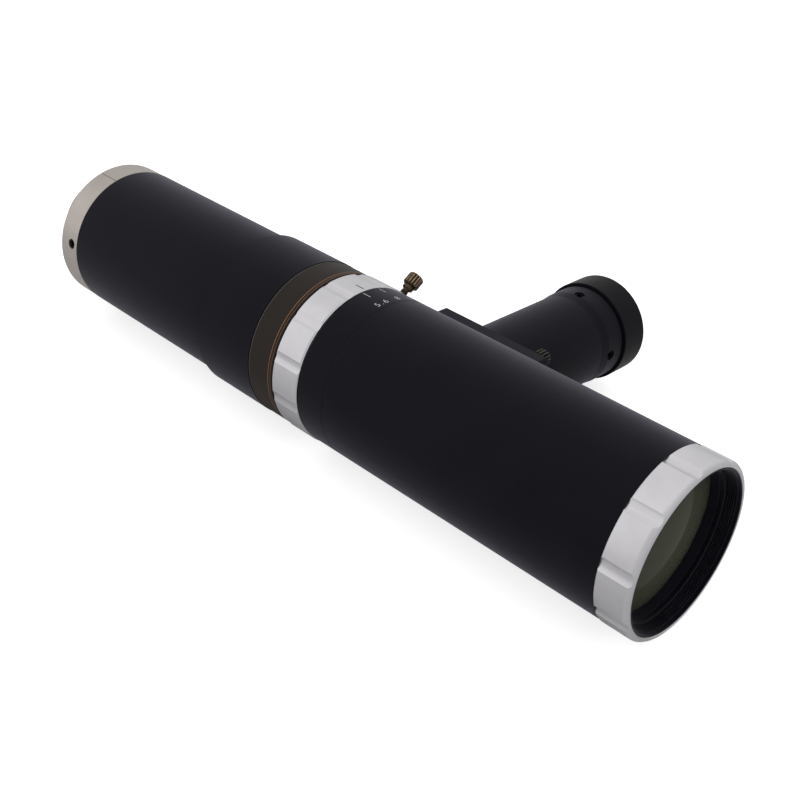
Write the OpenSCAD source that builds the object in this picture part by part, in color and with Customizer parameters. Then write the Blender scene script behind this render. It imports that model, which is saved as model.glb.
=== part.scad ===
// Machine vision lens with an iris, a fluted aperture ring and a side tube for coaxial light.
// The optical axis is X, with the object side at +X. The side tube leaves towards +Y.
// The origin is the centre of the plane that the camera seats on.
// Angles round the optical axis run from +Z towards +Y.

/* [Barrels] */
// Outer radius of the front barrel and the scale band, which every other radius follows
front_barrel_r = 30; // [29:0.1:34]
// Visible length of the front barrel
front_barrel_len = 114; // [100:1:140]
// Length of the scale band
scale_band_len = 12.6; // [10:0.1:18]
// How far the label ring stands proud of the front barrel
label_step = 0.1; // [0:0.05:0.5]
// Length of the label ring
label_len = 12.4; // [8:0.1:20]
// How far the middle barrel stands proud of the front barrel
middle_step = 0.3; // [0:0.1:1]
// Visible length of the middle barrel up to the label ring
middle_barrel_len = 29.7; // [22:0.1:40]
// Height of the chamfered step down to the slim rear barrel
step_chamfer = 1.5; // [1:0.1:1.8]
// Visible length of the slim rear barrel
rear_barrel_len = 80.2; // [66:0.1:110]
// Wall of the scale band, which gives the radius of the joints between the barrels
band_wall = 2.05; // [1.8:0.05:2.4]
// Running clearance and seat clearance, each on the radius
fit = 0.05; // [0.03:0.01:0.08]

/* [Camera end] */
// How far the silver camera ring stays under the rear barrel's surface
camera_ring_step = 0.1; // [0:0.05:0.5]
// Length of the silver camera ring
camera_ring_len = 11; // [9:0.5:16]
// Wall of the camera ring round the adapter's shank
camera_ring_wall = 4.75; // [4:0.05:5.5]
// Wall of the adapter's shank, which the set screws clamp
shank_wall = 5.45; // [4.5:0.05:6]
// Wall of the camera nose under its thread
nose_wall = 2.5; // [2:0.1:3]
// Length of the camera nose behind the camera plane
nose_len = 10.5; // [8:0.5:14]
// Distance of the three set screws from the camera ring's front
mount_screw_setback = 3.6; // [3:0.1:4.5]
// Angle of the first set screw
mount_screw_angle = -82.4; // [-180:0.1:180]

/* [Aperture ring] */
// How far the aperture ring stands proud of the front barrel
aperture_step = 0.35; // [0.1:0.05:1]
// Length of the aperture ring
aperture_ring_len = 12.3; // [10:0.1:14]
// Number of flutes round the aperture ring
aperture_flutes = 12; // [8:1:18]
// Angle of one of its flutes
aperture_flute_angle = -43; // [-180:1:180]
// Radius of the flute cutter
aperture_flute_r = 5; // [3:0.5:8]
// Depth of each flute
aperture_flute_depth = 0.55; // [0.3:0.05:0.8]
// Angle of the ring past its fully open position, as it stands
opened_past = 3.6; // [0:0.1:10]
// Full turn of the ring, from widest to smallest opening
ring_turn = 58.8; // [40:0.1:60]

/* [Iris] */
// Wall of the iris housing under the aperture ring
housing_wall = 2.3; // [2:0.05:2.6]
// Thickness of a blade
blade_t = 0.12; // [0.08:0.01:0.14]
// Radius of the fixed opening, as a share of the housing's cavity
stop_share = 0.538; // [0.5:0.001:0.54]
// Inner radius of a blade's arc, as a share of the cavity
blade_inner_share = 0.5692; // [0.56:0.001:0.58]
// Outer radius of a blade's arc, as a share of the cavity
blade_outer_share = 0.9201; // [0.9:0.001:0.93]
// Radius of the circle of pivot pins, as a share of the cavity
pivot_share = 0.8382; // [0.82:0.001:0.85]
// Radius at which each slide pin starts when the iris is open, as a share of the cavity
slide_share = 0.8811; // [0.86:0.001:0.89]
// Angle that a blade's arc spans
blade_arc_angle = 110; // [106:1:114]
// Radius of the pivot pins and the slide pins
blade_pin_r = 0.6; // [0.4:0.05:0.7]

/* [Thumbscrews] */
// Radius of a thumbscrew's thread
thumb_shaft_r = 1.45; // [1:0.05:1.5]
// Radius of its knurled head
thumb_head_r = 3.1; // [2.4:0.1:3.2]
// Length of its knurled head
thumb_head_len = 4.8; // [3.5:0.1:6]
// Number of ridges on the head
thumb_ridges = 16; // [10:1:20]
// Angle of the aperture lock screw round the barrel
lock_screw_angle = 55.5; // [40:0.5:70]
// Clear length of shaft between the aperture ring and the screw's collar
lock_screw_reach = 4.15; // [2:0.05:5]

/* [Front end] */
// How far the front ring stands proud of the front barrel
front_ring_step = 0.2; // [0:0.05:1]
// Length of the front ring
front_ring_len = 11.8; // [11:0.1:15]
// Number of flutes round the front ring
front_flutes = 10; // [8:1:16]
// Angle of one of its flutes
front_flute_angle = -8.6; // [-180:0.1:180]
// Radius of the flute cutter on the front ring
front_flute_r = 4; // [3:0.5:6]
// Depth of each flute on the front ring
front_flute_depth = 0.8; // [0.4:0.1:1.2]
// Radius of the front ring's rounded front edge
front_round = 1.8; // [0.5:0.1:2]
// Wall of the filter ring outside its thread
filter_wall = 1.05; // [0.9:0.05:1.2]
// Height of the front glass's dome
front_dome = 4; // [2:0.1:4.4]

/* [Light port] */
// Outer radius of the side tube, which the flange and the cap follow
tube_r = 17.65; // [15:0.05:18.5]
// Length of the side tube in front of the flange
tube_len = 56.15; // [50:0.05:80]
// Height of the collar at the tube's end
tube_collar_step = 0.45; // [0.2:0.05:1]
// Length of the collar at the tube's end
tube_collar_len = 8.4; // [8.4:0.1:12]
// Length of the cone between the tube and its collar
tube_cone_len = 4; // [1:0.5:6]
// Wall of the tube round the bore that takes a light guide
light_wall = 3.65; // [3.3:0.05:4]
// Distance of the tube's set screws from its end
tube_screw_setback = 7.1; // [7:0.1:8]
// Height of the flange's outer face over the barrel's surface
flange_stand = 1.25; // [1.2:0.05:3]
// How far the flange reaches past the tube along the barrel
flange_reach = 6.35; // [6:0.05:9]
// How far the flange reaches past the tube across the barrel
flange_side = 0.65; // [0.5:0.05:1.5]
// How far the flange laps over the seam behind the front barrel
flange_lap = 2.6; // [0:0.1:4]
// Radius of the flange's corners
flange_corner_r = 1.5; // [0.5:0.1:2.5]

/* [End cap] */
// How far the end cap stands proud of the side tube
cap_step = 1.6; // [1:0.05:3]
// Length of the end cap
cap_len = 12.8; // [6:0.1:20]
// Radius of the end cap's rounded outer edge
cap_round = 1.3; // [0.5:0.1:2.5]
// Length of the plug that enters the tube
cap_plug_len = 4; // [3:0.1:4.2]

/* [Set screws] */
// Radius of the set screws
set_screw_r = 2; // [1.5:0.1:2.5]
// Width across the flats of their sockets
set_screw_socket = 2; // [1.5:0.1:2.2]

/* [Hidden] */
$fn = 96;

// One overrun serves every cut
over = 1;
edge = 0.3;
bevel = 0.5;
end_play = 0.05;

// Places of the outer sections along the optical axis
ring_front_x = camera_ring_len;
step_x = ring_front_x + rear_barrel_len;
label_x = step_x + middle_barrel_len;
label_end_x = label_x + label_len;
label_gap = 0.6;
aperture_x = label_end_x + label_gap;
aperture_end_x = aperture_x + aperture_ring_len;
ring_gap = 0.2;
band_x = aperture_end_x + ring_gap;
seam_x = band_x + scale_band_len;
front_x = seam_x + front_barrel_len;
front_end_x = front_x + front_ring_len;

// Radii of the outer sections and of the joints between them
middle_barrel_r = front_barrel_r + middle_step;
rear_barrel_r = middle_barrel_r - step_chamfer;
label_r = front_barrel_r + label_step;
aperture_ring_r = front_barrel_r + aperture_step;
front_ring_r = front_barrel_r + front_ring_step;
camera_ring_r = rear_barrel_r - camera_ring_step;
joint_r = front_barrel_r - band_wall;

// Camera nose and its shank
shank_r = camera_ring_r - camera_ring_wall;
nose_bore_r = shank_r - shank_wall;
nose_r = nose_bore_r + nose_wall;
thread_relief_len = 1.2;
thread_relief_depth = 0.7;
shank_reach = 3;
shank_len = camera_ring_len + shank_reach;
mount_screw_x = camera_ring_len - mount_screw_setback;
groove_half_w = 0.9;
groove_depth = 1.25;

// Camera ring
rear_bore_in = 1.95;
rear_bore_r = joint_r - rear_bore_in;
ring_spigot_len = 7;
ring_lip_wall = 3.45;
ring_lip_r = rear_bore_r - ring_lip_wall;
index_slit_angle = -17;
index_slit_w = 0.5;
index_slit_depth = 0.3;

// Set screws: hole clearance, point and socket
screw_fit = 0.05;
screw_point_r = 0.75;
screw_sunk = 0.6;
socket_depth = 1.6;

// Barrel joints
step_spigot_len = 8;
step_spigot_in = 0.55;
step_spigot_r = joint_r - step_spigot_in;
step_recess_len = 8.2;
label_wall = 1.55;
label_seat_r = label_r - label_wall;
housing_spigot_in = 1.15;
housing_spigot_r = joint_r - housing_spigot_in;
housing_spigot_len = 11.6;
middle_shoulder_in = 3.95;
middle_shoulder_r = joint_r - middle_shoulder_in;

// Iris housing and what it holds, along the axis from its web
housing_collar_in = 0.95;
housing_collar_r = aperture_ring_r - housing_collar_in;
housing_bore_wall = 2.3;
housing_bore_r = housing_spigot_r - housing_bore_wall;
web_setback = 0.5;
web_x = aperture_x + web_setback;
web_t = 2;
cavity_r = joint_r - housing_wall;
cavity_x = web_x + web_t;
blade_drop = 0.5;
blade_room = 3;
pivot_x = cavity_x + blade_drop;
drive_x = cavity_x + blade_room;
drive_t = 2.4;
keeper_x = drive_x + drive_t + end_play;
keeper_t = 1.5;
keeper_wall = 5.65;
keeper_bore_r = cavity_r - keeper_wall;
relay_x = keeper_x + keeper_t + end_play;
housing_reach = 4.6;
housing_end_x = band_x + housing_reach;

// Drive pin that joins the aperture ring to the drive ring
drive_pin_r = 1;
drive_pin_x = drive_x + drive_t / 2;
drive_pin_angle = 200;
drive_pin_in = 2.05;
drive_pin_in_r = cavity_r - drive_pin_in;
drive_pin_out_r = housing_collar_r;
pin_room = 0.1;

// Blades: each is a flat leaf, tilted so that it lies on the next one and under the last one
blade_count = 6;
stop_r = cavity_r * stop_share;
blade_inner_r = cavity_r * blade_inner_share;
blade_outer_r = cavity_r * blade_outer_share;
pivot_circle_r = cavity_r * pivot_share;
slide_circle_r = cavity_r * slide_share;
blade_slope_share = 0.055;
blade_lean = 10;
blade_mean_r = (blade_inner_r + blade_outer_r) / 2;
blade_end_r = (blade_outer_r - blade_inner_r) / 2;
blade_ratio_share = 0.5;
blade_turn = ring_turn * blade_ratio_share;
blade_rest = opened_past * blade_ratio_share;
slot_steps = 14;
cam_probe = 1;
rise_dir = -(blade_arc_angle / 2 + 90 + blade_lean);
first_pivot = axis_angle(drive_pin_angle) + blade_arc_angle + opened_past - 180 / blade_count;

// Lock screws
pad_len = 1.2;
pad_r = thumb_shaft_r - fit;
collar_r = 2.1;
collar_len = 1.5;
neck_len = 0.12;
neck_r = 1.75;
ridge_depth = 0.35;
head_chamfer = 0.5;
ridge_top_share = 0.3;
ridge_foot_share = 0.2;
lock_screw_in = 0.6;
lock_screw_x = drive_x + lock_screw_in;

// Lens groups: the radius of each group's glass and the lengths of its stack
glass_fit = 0.05;
relay_wall = 8.65;
relay_glass_r = cavity_r - relay_wall;
relay_cell_bore_lip = 2;
relay_lens_t = 2.6;
relay_sag = 0.9;
relay_keeper_t = 1.5;
rear_cell_wall = 5.55;
rear_glass_r = rear_bore_r - rear_cell_wall;
rear_cell_len = 23;
rear_lip_len = 4;
rear_lens_t = 5;
rear_gap_t = 4;
rear_keeper_t = 3;
rear_sag = 1.6;
field_cell_len = 16;
field_lip_len = 2;
field_lens_t = 4;
field_sag = 1.2;
field_keeper_t = 3;
seat_lip = 2;

// Front glass, from the front barrel's end inwards
front_spigot_len = 6.3;
front_spigot_wall = 1.45;
front_seat_r = joint_r - front_spigot_wall;
filter_r = joint_r - filter_wall;
front_keeper_t = 2.8;
front_edge_t = 6;
front_hollow = 1.5;
front_spacer_t = 4;
inner_lens_t = 4;
inner_sag = 2;
front_rim = 1.1;
baffle_wall = 2;
baffle_bore_r = front_seat_r - baffle_wall;
filter_ring_len = 4.7;
filter_setback = 0.6;
filter_bevel = 0.7;
front_glass_out = 2;
front_glass_x = front_x + front_glass_out;

// Light port
flange_len = 2 * (tube_r + flange_reach);
flange_h = 2 * (tube_r + flange_side);
flange_y = front_barrel_r + flange_stand;
port_x = seam_x + flange_len / 2 - flange_lap;
port_bore_in = 2.6;
port_bore_r = tube_r - port_bore_in;
port_spigot_in = 5.5;
port_spigot_in_y = front_barrel_r - port_spigot_in;
tube_collar_r = tube_r + tube_collar_step;
light_bore_r = tube_r - light_wall;
saddle_fit = 0.05;
tube_end_y = flange_y + tube_len;
tube_channel_in = 1.5;
tube_channel_r = light_bore_r - tube_channel_in;
condenser_in = 8.75;
condenser_y = flange_y + condenser_in;
condenser_t = 4;
condenser_sag = 2.5;
condenser_gap = 16;
condenser_wall = 1.15;
diffuser_t = 2;
diffuser_keeper_t = 3;
diffuser_y = condenser_y + condenser_t + condenser_gap;
// Shoulder that the light guide stops on, and the wider mouth that takes the cap's plug
light_seat_y = diffuser_y + diffuser_t + diffuser_keeper_t + edge;
light_seat_lip = 0.6;
optic_bore_r = light_bore_r - light_seat_lip;
mouth_wall = 2.6;
mouth_r = tube_collar_r - mouth_wall;
mouth_depth = cap_plug_len + end_play;
tube_screw_y = tube_end_y - tube_screw_setback;
tube_screws = 4;

// Flange screws and the flange's lock screw
flange_screw_r = 1.2;
flange_head_r = 2.25;
flange_head_len = 1.1;
flange_screw_margin = 4.2;
flange_screw_u = flange_len / 2 - flange_screw_margin;
flange_screw_v = 7.5;
screw_depth = 5;
flange_screw_in_y = front_barrel_r - screw_depth;
flange_slot_w = 0.6;
flange_slot_depth = 0.5;
port_screw_margin_x = 6.3;
port_screw_margin_z = 4.1;
port_screw_u = flange_len / 2 - port_screw_margin_x;
port_screw_v = flange_h / 2 - port_screw_margin_z;
port_screw_reach = 0.15;
port_pad_y = front_barrel_r - screw_depth;

// Beamsplitter: a plate at 45 degrees on a slanted seat
holder_r = front_seat_r - fit;
holder_back = 24.4;
holder_front = 23.6;
holder_wall = 11.45;
holder_bore_r = holder_r - holder_wall;
plate_t = 2;
plate_len_share = 0.983;
plate_half_len = holder_r * plate_len_share;
plate_w_share = 0.6427;
plate_half_w = holder_r * plate_w_share;
clip_gap = 0.2;
clip_len = 3.8;
clip_over = 1.7;
clip_half_w = 4;
clip_t = 0.6;
clip_screw_r = 1;
clip_head_r = 1.75;
clip_head_len = 1.2;
clip_screw_len = 6;

// End cap
cap_r = tube_r + cap_step;
cap_neck_in = 0.25;
cap_neck_r = tube_r - cap_neck_in;
cap_neck_len = 0.4;
cap_plug_room = 0.1;
cap_plug_wall = 3.1;
cap_hollow_r = mouth_r - cap_plug_room - cap_plug_wall;

function polar(r, a) = [r * cos(a), r * sin(a)];
function turn2(p, a) = [p[0] * cos(a) - p[1] * sin(a), p[0] * sin(a) + p[1] * cos(a)];
function flip(list) = [for (i = [len(list) - 1:-1:0]) list[i]];
// Angle in a drawing plane whose x points down and y points along +Y, for an angle round the barrel
function axis_angle(theta) = 180 - theta;

// Stands a shape drawn along Z up along the optical axis, from place x
module along_x(x) {
    translate([x, 0, 0])
        rotate([0, 90, 0])
            children();
}

// Carries a radial feature, drawn along Z, round the barrel
module at_angle(theta) {
    rotate([-theta, 0, 0])
        children();
}

// Piece turned about the optical axis, from points [radius, place]
module turned(points) {
    along_x(0)
        rotate_extrude()
            polygon(points);
}

// Plain ring between two radii
module ring(x, length, outer_r, inner_r) {
    turned([[inner_r, x], [outer_r, x], [outer_r, x + length], [inner_r, x + length]]);
}

// Stands a shape drawn along Z up along the side tube's axis, from place y
module along_port(y) {
    translate([port_x, y, 0])
        rotate([-90, 0, 0])
            children();
}

// Piece turned about the side tube's axis
module port_turned(points) {
    along_port(0)
        rotate_extrude()
            polygon(points);
}

// Part of a ball that stands on a disc of radius r with height sag
module dome(r, sag) {
    ball_r = (r * r + sag * sag) / (2 * sag);
    rotate_extrude()
        intersection() {
            translate([0, sag - ball_r])
                circle(r = ball_r, $fn = 360);
            square([r, sag]);
        }
}

// Glass with a flat rim. A positive bulge stands out, a negative one is ground in.
module glass(edge_r, rim, edge_t, front_bulge, back_bulge) {
    clear_r = edge_r - rim;
    difference() {
        union() {
            cylinder(r = edge_r, h = edge_t);
            if (front_bulge > 0)
                translate([0, 0, edge_t])
                    dome(clear_r, front_bulge);
            if (back_bulge > 0)
                mirror([0, 0, 1])
                    dome(clear_r, back_bulge);
        }
        if (front_bulge < 0)
            translate([0, 0, edge_t])
                mirror([0, 0, 1])
                    dome(clear_r, -front_bulge);
        if (back_bulge < 0)
            dome(clear_r, -back_bulge);
    }
}

// Round-bottomed flutes along a ring
module flutes(count, angle, outer_r, cutter_r, depth, x, length) {
    for (i = [0:count - 1])
        at_angle(angle + i * 360 / count)
            translate([0, 0, outer_r - depth + cutter_r])
                along_x(x)
                    cylinder(r = cutter_r, h = length);
}

// Set screw along Z, from its flat point to its socket end
module set_screw(from_r, to_r, point_len) {
    difference() {
        union() {
            translate([0, 0, from_r + point_len])
                cylinder(r = set_screw_r, h = to_r - from_r - point_len);
            if (point_len > 0)
                translate([0, 0, from_r])
                    cylinder(r1 = screw_point_r, r2 = set_screw_r, h = point_len);
        }
        translate([0, 0, to_r - socket_depth])
            cylinder(d = set_screw_socket / cos(30), h = socket_depth + over, $fn = 6);
    }
}

// Knurled outline: straight ridges round the head
module ridged_outline() {
    step = 360 / thumb_ridges;
    foot_r = thumb_head_r - ridge_depth;
    polygon([
        for (i = [0:thumb_ridges - 1])
            for (p = [
                [foot_r, -ridge_top_share - ridge_foot_share],
                [thumb_head_r, -ridge_top_share],
                [thumb_head_r, ridge_top_share],
                [foot_r, ridge_top_share + ridge_foot_share]
            ])
                polar(p[0], (i + p[1]) * step)
    ]);
}

// Thumbscrew along Z: shaft, collar, neck and knurled head
module thumbscrew(shaft_from, collar_from) {
    neck_from = collar_from + collar_len;
    head_from = neck_from + neck_len;
    head_to = head_from + thumb_head_len;
    union() {
        rotate_extrude()
            polygon([
                [0, shaft_from],
                [thumb_shaft_r, shaft_from],
                [thumb_shaft_r, collar_from],
                [collar_r, collar_from],
                [collar_r, neck_from],
                [neck_r, neck_from],
                [neck_r, head_from + thumb_head_len / 2],
                [0, head_from + thumb_head_len / 2]
            ]);
        intersection() {
            translate([0, 0, head_from])
                linear_extrude(thumb_head_len)
                    ridged_outline();
            rotate_extrude()
                polygon([
                    [0, head_from],
                    [thumb_head_r - head_chamfer, head_from],
                    [thumb_head_r, head_from + head_chamfer],
                    [thumb_head_r, head_to - head_chamfer],
                    [thumb_head_r - head_chamfer, head_to],
                    [0, head_to]
                ]);
        }
    }
}

module mount_adapter() {
    groove_top = groove_half_w + groove_depth;
    color("#1b1b1d")
        turned([
            [nose_bore_r, -nose_len],
            [nose_r - bevel, -nose_len],
            [nose_r, bevel - nose_len],
            [nose_r, -thread_relief_len],
            [nose_r - thread_relief_depth, -thread_relief_len],
            [nose_r - thread_relief_depth, 0],
            [shank_r - edge, 0],
            [shank_r, edge],
            [shank_r, mount_screw_x - groove_top],
            [shank_r - groove_depth, mount_screw_x - groove_half_w],
            [shank_r - groove_depth, mount_screw_x + groove_half_w],
            [shank_r, mount_screw_x + groove_top],
            [shank_r, shank_len - edge],
            [shank_r - edge, shank_len],
            [nose_bore_r, shank_len]
        ]);
}

module mount_screw_holes() {
    for (i = [0:2])
        at_angle(mount_screw_angle + i * 120)
            translate([mount_screw_x, 0, shank_r - over])
                cylinder(r = set_screw_r + screw_fit, h = camera_ring_r - shank_r + 2 * over);
}

module rear_ring() {
    bore_r = shank_r + fit;
    spigot_end = camera_ring_len + ring_spigot_len;
    color("#b3aca5")
        difference() {
            turned([
                [bore_r, 0],
                [camera_ring_r - bevel, 0],
                [camera_ring_r, bevel],
                [camera_ring_r, camera_ring_len],
                [rear_bore_r - fit, camera_ring_len],
                [rear_bore_r - fit, spigot_end],
                [ring_lip_r, spigot_end],
                [ring_lip_r, shank_len + fit],
                [bore_r, shank_len + fit]
            ]);
            mount_screw_holes();
            at_angle(index_slit_angle)
                translate([-over, -index_slit_w / 2, camera_ring_r - index_slit_depth])
                    cube([camera_ring_len + over, index_slit_w, index_slit_depth + over]);
        }
}

module mount_set_screws() {
    from_r = shank_r - groove_depth + fit;
    color("#4a4846")
        for (i = [0:2])
            at_angle(mount_screw_angle + i * 120)
                translate([mount_screw_x, 0, 0])
                    set_screw(from_r, camera_ring_r - screw_sunk, set_screw_r - screw_point_r);
}

module rear_barrel() {
    color("#18181a")
        turned([
            [rear_bore_r, ring_front_x],
            [rear_barrel_r - edge, ring_front_x],
            [rear_barrel_r, ring_front_x + edge],
            [rear_barrel_r, step_x],
            [step_spigot_r, step_x],
            [step_spigot_r, step_x + step_spigot_len],
            [rear_bore_r, step_x + step_spigot_len]
        ]);
}

module middle_barrel() {
    recess_x = step_x + step_recess_len;
    housing_x = label_end_x - housing_spigot_len;
    color("#18181a")
        turned([
            [step_spigot_r + fit, step_x],
            [rear_barrel_r, step_x],
            [middle_barrel_r, step_x + step_chamfer],
            [middle_barrel_r, label_x],
            [label_seat_r, label_x],
            [label_seat_r, label_end_x],
            [housing_spigot_r + fit, label_end_x],
            [housing_spigot_r + fit, housing_x - fit],
            [middle_shoulder_r, housing_x - fit],
            [middle_shoulder_r, recess_x],
            [step_spigot_r + fit, recess_x]
        ]);
}

module label_ring() {
    color("#241c19")
        turned([
            [label_seat_r + fit, label_x],
            [label_r - edge, label_x],
            [label_r, label_x + edge],
            [label_r, label_end_x - edge],
            [label_r - edge, label_end_x],
            [label_seat_r + fit, label_end_x]
        ]);
}

module field_lens_cell() {
    x = camera_ring_len + ring_spigot_len;
    bore_r = rear_glass_r + glass_fit;
    color("#161616")
        turned([
            [bore_r - seat_lip, x],
            [rear_bore_r - fit, x],
            [rear_bore_r - fit, x + field_cell_len],
            [bore_r, x + field_cell_len],
            [bore_r, x + field_lip_len],
            [bore_r - seat_lip, x + field_lip_len]
        ]);
}

module field_lens() {
    x = camera_ring_len + ring_spigot_len + field_lip_len;
    color("#7f9a8a", 0.4)
        along_x(x)
            glass(rear_glass_r, seat_lip, field_lens_t, field_sag, -field_sag);
}

module field_lens_retainer() {
    x = camera_ring_len + ring_spigot_len + field_lip_len + field_lens_t;
    color("#161616")
        ring(x, field_keeper_t, rear_glass_r, rear_glass_r - seat_lip);
}

// The rear group butts against the shoulder in the middle barrel
rear_cell_x = step_x + step_recess_len - rear_cell_len;
rear_inner_x = rear_cell_x + rear_cell_len - rear_lip_len - rear_lens_t;
rear_gap_x = rear_inner_x - rear_gap_t;
rear_lens_x = rear_gap_x - rear_lens_t;

module rear_lens_cell() {
    end_x = rear_cell_x + rear_cell_len;
    bore_r = rear_glass_r + glass_fit;
    color("#161616")
        turned([
            [bore_r, rear_cell_x],
            [rear_bore_r - fit, rear_cell_x],
            [rear_bore_r - fit, end_x],
            [bore_r - seat_lip, end_x],
            [bore_r - seat_lip, end_x - rear_lip_len],
            [bore_r, end_x - rear_lip_len]
        ]);
}

module rear_inner_lens() {
    color("#7f9a8a", 0.4)
        along_x(rear_inner_x)
            glass(rear_glass_r, seat_lip, rear_lens_t, -rear_sag, rear_sag);
}

module rear_lens_spacer() {
    color("#161616")
        ring(rear_gap_x, rear_gap_t, rear_glass_r, rear_glass_r - seat_lip);
}

module rear_lens() {
    color("#7f9a8a", 0.4)
        along_x(rear_lens_x)
            glass(rear_glass_r, seat_lip, rear_lens_t, rear_sag, rear_sag);
}

module rear_lens_retainer() {
    color("#161616")
        ring(rear_lens_x - rear_keeper_t, rear_keeper_t, rear_glass_r, rear_glass_r - seat_lip);
}

module iris_housing() {
    start_x = label_end_x - housing_spigot_len;
    collar_end = aperture_x - end_play;
    first_angle = drive_pin_angle - opened_past;
    last_angle = first_angle + ring_turn;
    slot_r = drive_pin_r + pin_room;
    color("#161616")
        difference() {
            turned([
                [housing_bore_r, start_x],
                [housing_spigot_r, start_x],
                [housing_spigot_r, label_end_x],
                [housing_collar_r, label_end_x],
                [housing_collar_r, collar_end],
                [joint_r, collar_end],
                [joint_r, housing_end_x],
                [cavity_r, housing_end_x],
                [cavity_r, cavity_x],
                [stop_r, cavity_x],
                [stop_r, web_x],
                [housing_bore_r, web_x]
            ]);
            for (k = [0:blade_count - 1])
                along_x(web_x - over)
                    translate(polar(pivot_circle_r, first_pivot + k * 360 / blade_count))
                        cylinder(r = blade_pin_r + fit, h = web_t + 2 * over);
            // Slot that lets the drive pin follow the aperture ring
            along_x(drive_pin_x - slot_r)
                rotate([0, 0, axis_angle(last_angle)])
                    rotate_extrude(angle = ring_turn)
                        translate([cavity_r - over, 0])
                            square([joint_r - cavity_r + 2 * over, 2 * slot_r]);
            for (theta = [first_angle, last_angle])
                at_angle(theta)
                    translate([drive_pin_x, 0, cavity_r - over])
                        cylinder(r = slot_r, h = joint_r - cavity_r + 2 * over);
        }
}

module aperture_ring() {
    color("#c9c7c4")
        difference() {
            turned([
                [joint_r + fit, aperture_x],
                [aperture_ring_r - edge, aperture_x],
                [aperture_ring_r, aperture_x + edge],
                [aperture_ring_r, aperture_end_x - bevel],
                [aperture_ring_r - bevel, aperture_end_x],
                [joint_r + fit, aperture_end_x]
            ]);
            flutes(aperture_flutes, aperture_flute_angle, aperture_ring_r, aperture_flute_r,
                aperture_flute_depth, aperture_x - over, aperture_ring_len + 2 * over);
            at_angle(lock_screw_angle)
                translate([lock_screw_x, 0, joint_r - over])
                    cylinder(r = thumb_shaft_r + fit, h = aperture_ring_r - joint_r + 2 * over);
            at_angle(drive_pin_angle)
                translate([drive_pin_x, 0, joint_r - over])
                    cylinder(r = drive_pin_r + fit, h = drive_pin_out_r + fit - joint_r + over);
        }
}

module aperture_drive_pin() {
    color("#a8a8a8")
        at_angle(drive_pin_angle)
            translate([drive_pin_x, 0, drive_pin_in_r])
                cylinder(r = drive_pin_r, h = drive_pin_out_r - drive_pin_in_r);
}

// Place of a blade's slide pin after the blade has closed by an angle
function slide_pin_at(closed) = polar(pivot_circle_r, 0)
    + turn2(polar(slide_circle_r, -blade_arc_angle) - polar(pivot_circle_r, 0), -closed);

// Centre line of a cam slot, drawn on the drive ring as it stands
function cam_point(closed) = turn2(slide_pin_at(closed), closed / blade_ratio_share - opened_past);
function cam_normal(closed) =
    let (d = cam_point(closed + cam_probe) - cam_point(closed - cam_probe))
        [-d[1], d[0]] / norm(d);

module cam_slot() {
    half_w = blade_pin_r + pin_room;
    stops = [for (i = [0:slot_steps]) blade_turn * i / slot_steps];
    near = [for (c = stops) cam_point(c) + cam_normal(c) * half_w];
    far = [for (c = flip(stops)) cam_point(c) - cam_normal(c) * half_w];
    translate([0, 0, -over])
        linear_extrude(drive_t + 2 * over)
            polygon(concat(near, far));
    for (c = [0, blade_turn])
        translate(cam_point(c))
            translate([0, 0, -over])
                cylinder(r = half_w, h = drive_t + 2 * over, $fn = 32);
}

module iris_drive_ring() {
    color("#8c8a84")
        difference() {
            ring(drive_x, drive_t, cavity_r - fit, stop_r);
            for (k = [0:blade_count - 1])
                along_x(drive_x)
                    rotate([0, 0, first_pivot + k * 360 / blade_count])
                        cam_slot();
            at_angle(drive_pin_angle)
                translate([drive_pin_x, 0, drive_pin_in_r - fit])
                    cylinder(r = drive_pin_r + fit, h = cavity_r - drive_pin_in_r + over);
        }
}

module iris_retaining_ring() {
    color("#161616")
        ring(keeper_x, keeper_t, cavity_r - fit, keeper_bore_r);
}

// Leaf of one blade in its plane when the iris is open, with its pivot on the x axis
module blade_outline() {
    reach = 2 * blade_outer_r;
    intersection() {
        difference() {
            circle(r = blade_outer_r);
            circle(r = blade_inner_r);
        }
        polygon([[0, 0], [reach, 0], polar(reach, -blade_arc_angle / 2), polar(reach, -blade_arc_angle)]);
    }
    for (a = [0, -blade_arc_angle])
        translate(polar(blade_mean_r, a))
            circle(r = blade_end_r, $fn = 48);
}

// One blade of the iris as it stands, with its two riveted pins
module iris_blade(index) {
    pivot = polar(pivot_circle_r, 0);
    slide = polar(slide_circle_r, -blade_arc_angle);
    rise = (slide - pivot) * polar(blade_slope_share, rise_dir);
    tilt = atan(blade_slope_share);
    color("#2b2b2c")
        along_x(pivot_x)
            rotate([0, 0, first_pivot + index * 360 / blade_count])
                translate(pivot)
                    rotate([0, 0, -blade_rest]) {
                        rotate([0, 0, rise_dir])
                            rotate([0, -tilt, 0])
                                rotate([0, 0, -rise_dir])
                                    translate([-pivot[0], -pivot[1], -blade_t / 2])
                                        linear_extrude(blade_t)
                                            blade_outline();
                        translate([0, 0, -blade_drop - web_t])
                            cylinder(r = blade_pin_r, h = blade_drop + web_t, $fn = 48);
                        translate(slide - pivot)
                            translate([0, 0, rise])
                                cylinder(r = blade_pin_r, h = blade_room - blade_drop - rise + drive_t,
                                    $fn = 48);
                    }
}

module iris_blade_1() { iris_blade(0); }
module iris_blade_2() { iris_blade(1); }
module iris_blade_3() { iris_blade(2); }
module iris_blade_4() { iris_blade(3); }
module iris_blade_5() { iris_blade(4); }
module iris_blade_6() { iris_blade(5); }

module aperture_lock_pad() {
    color("#d8d4c4")
        at_angle(lock_screw_angle)
            translate([lock_screw_x, 0, joint_r + fit])
                cylinder(r = pad_r, h = pad_len);
}

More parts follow.
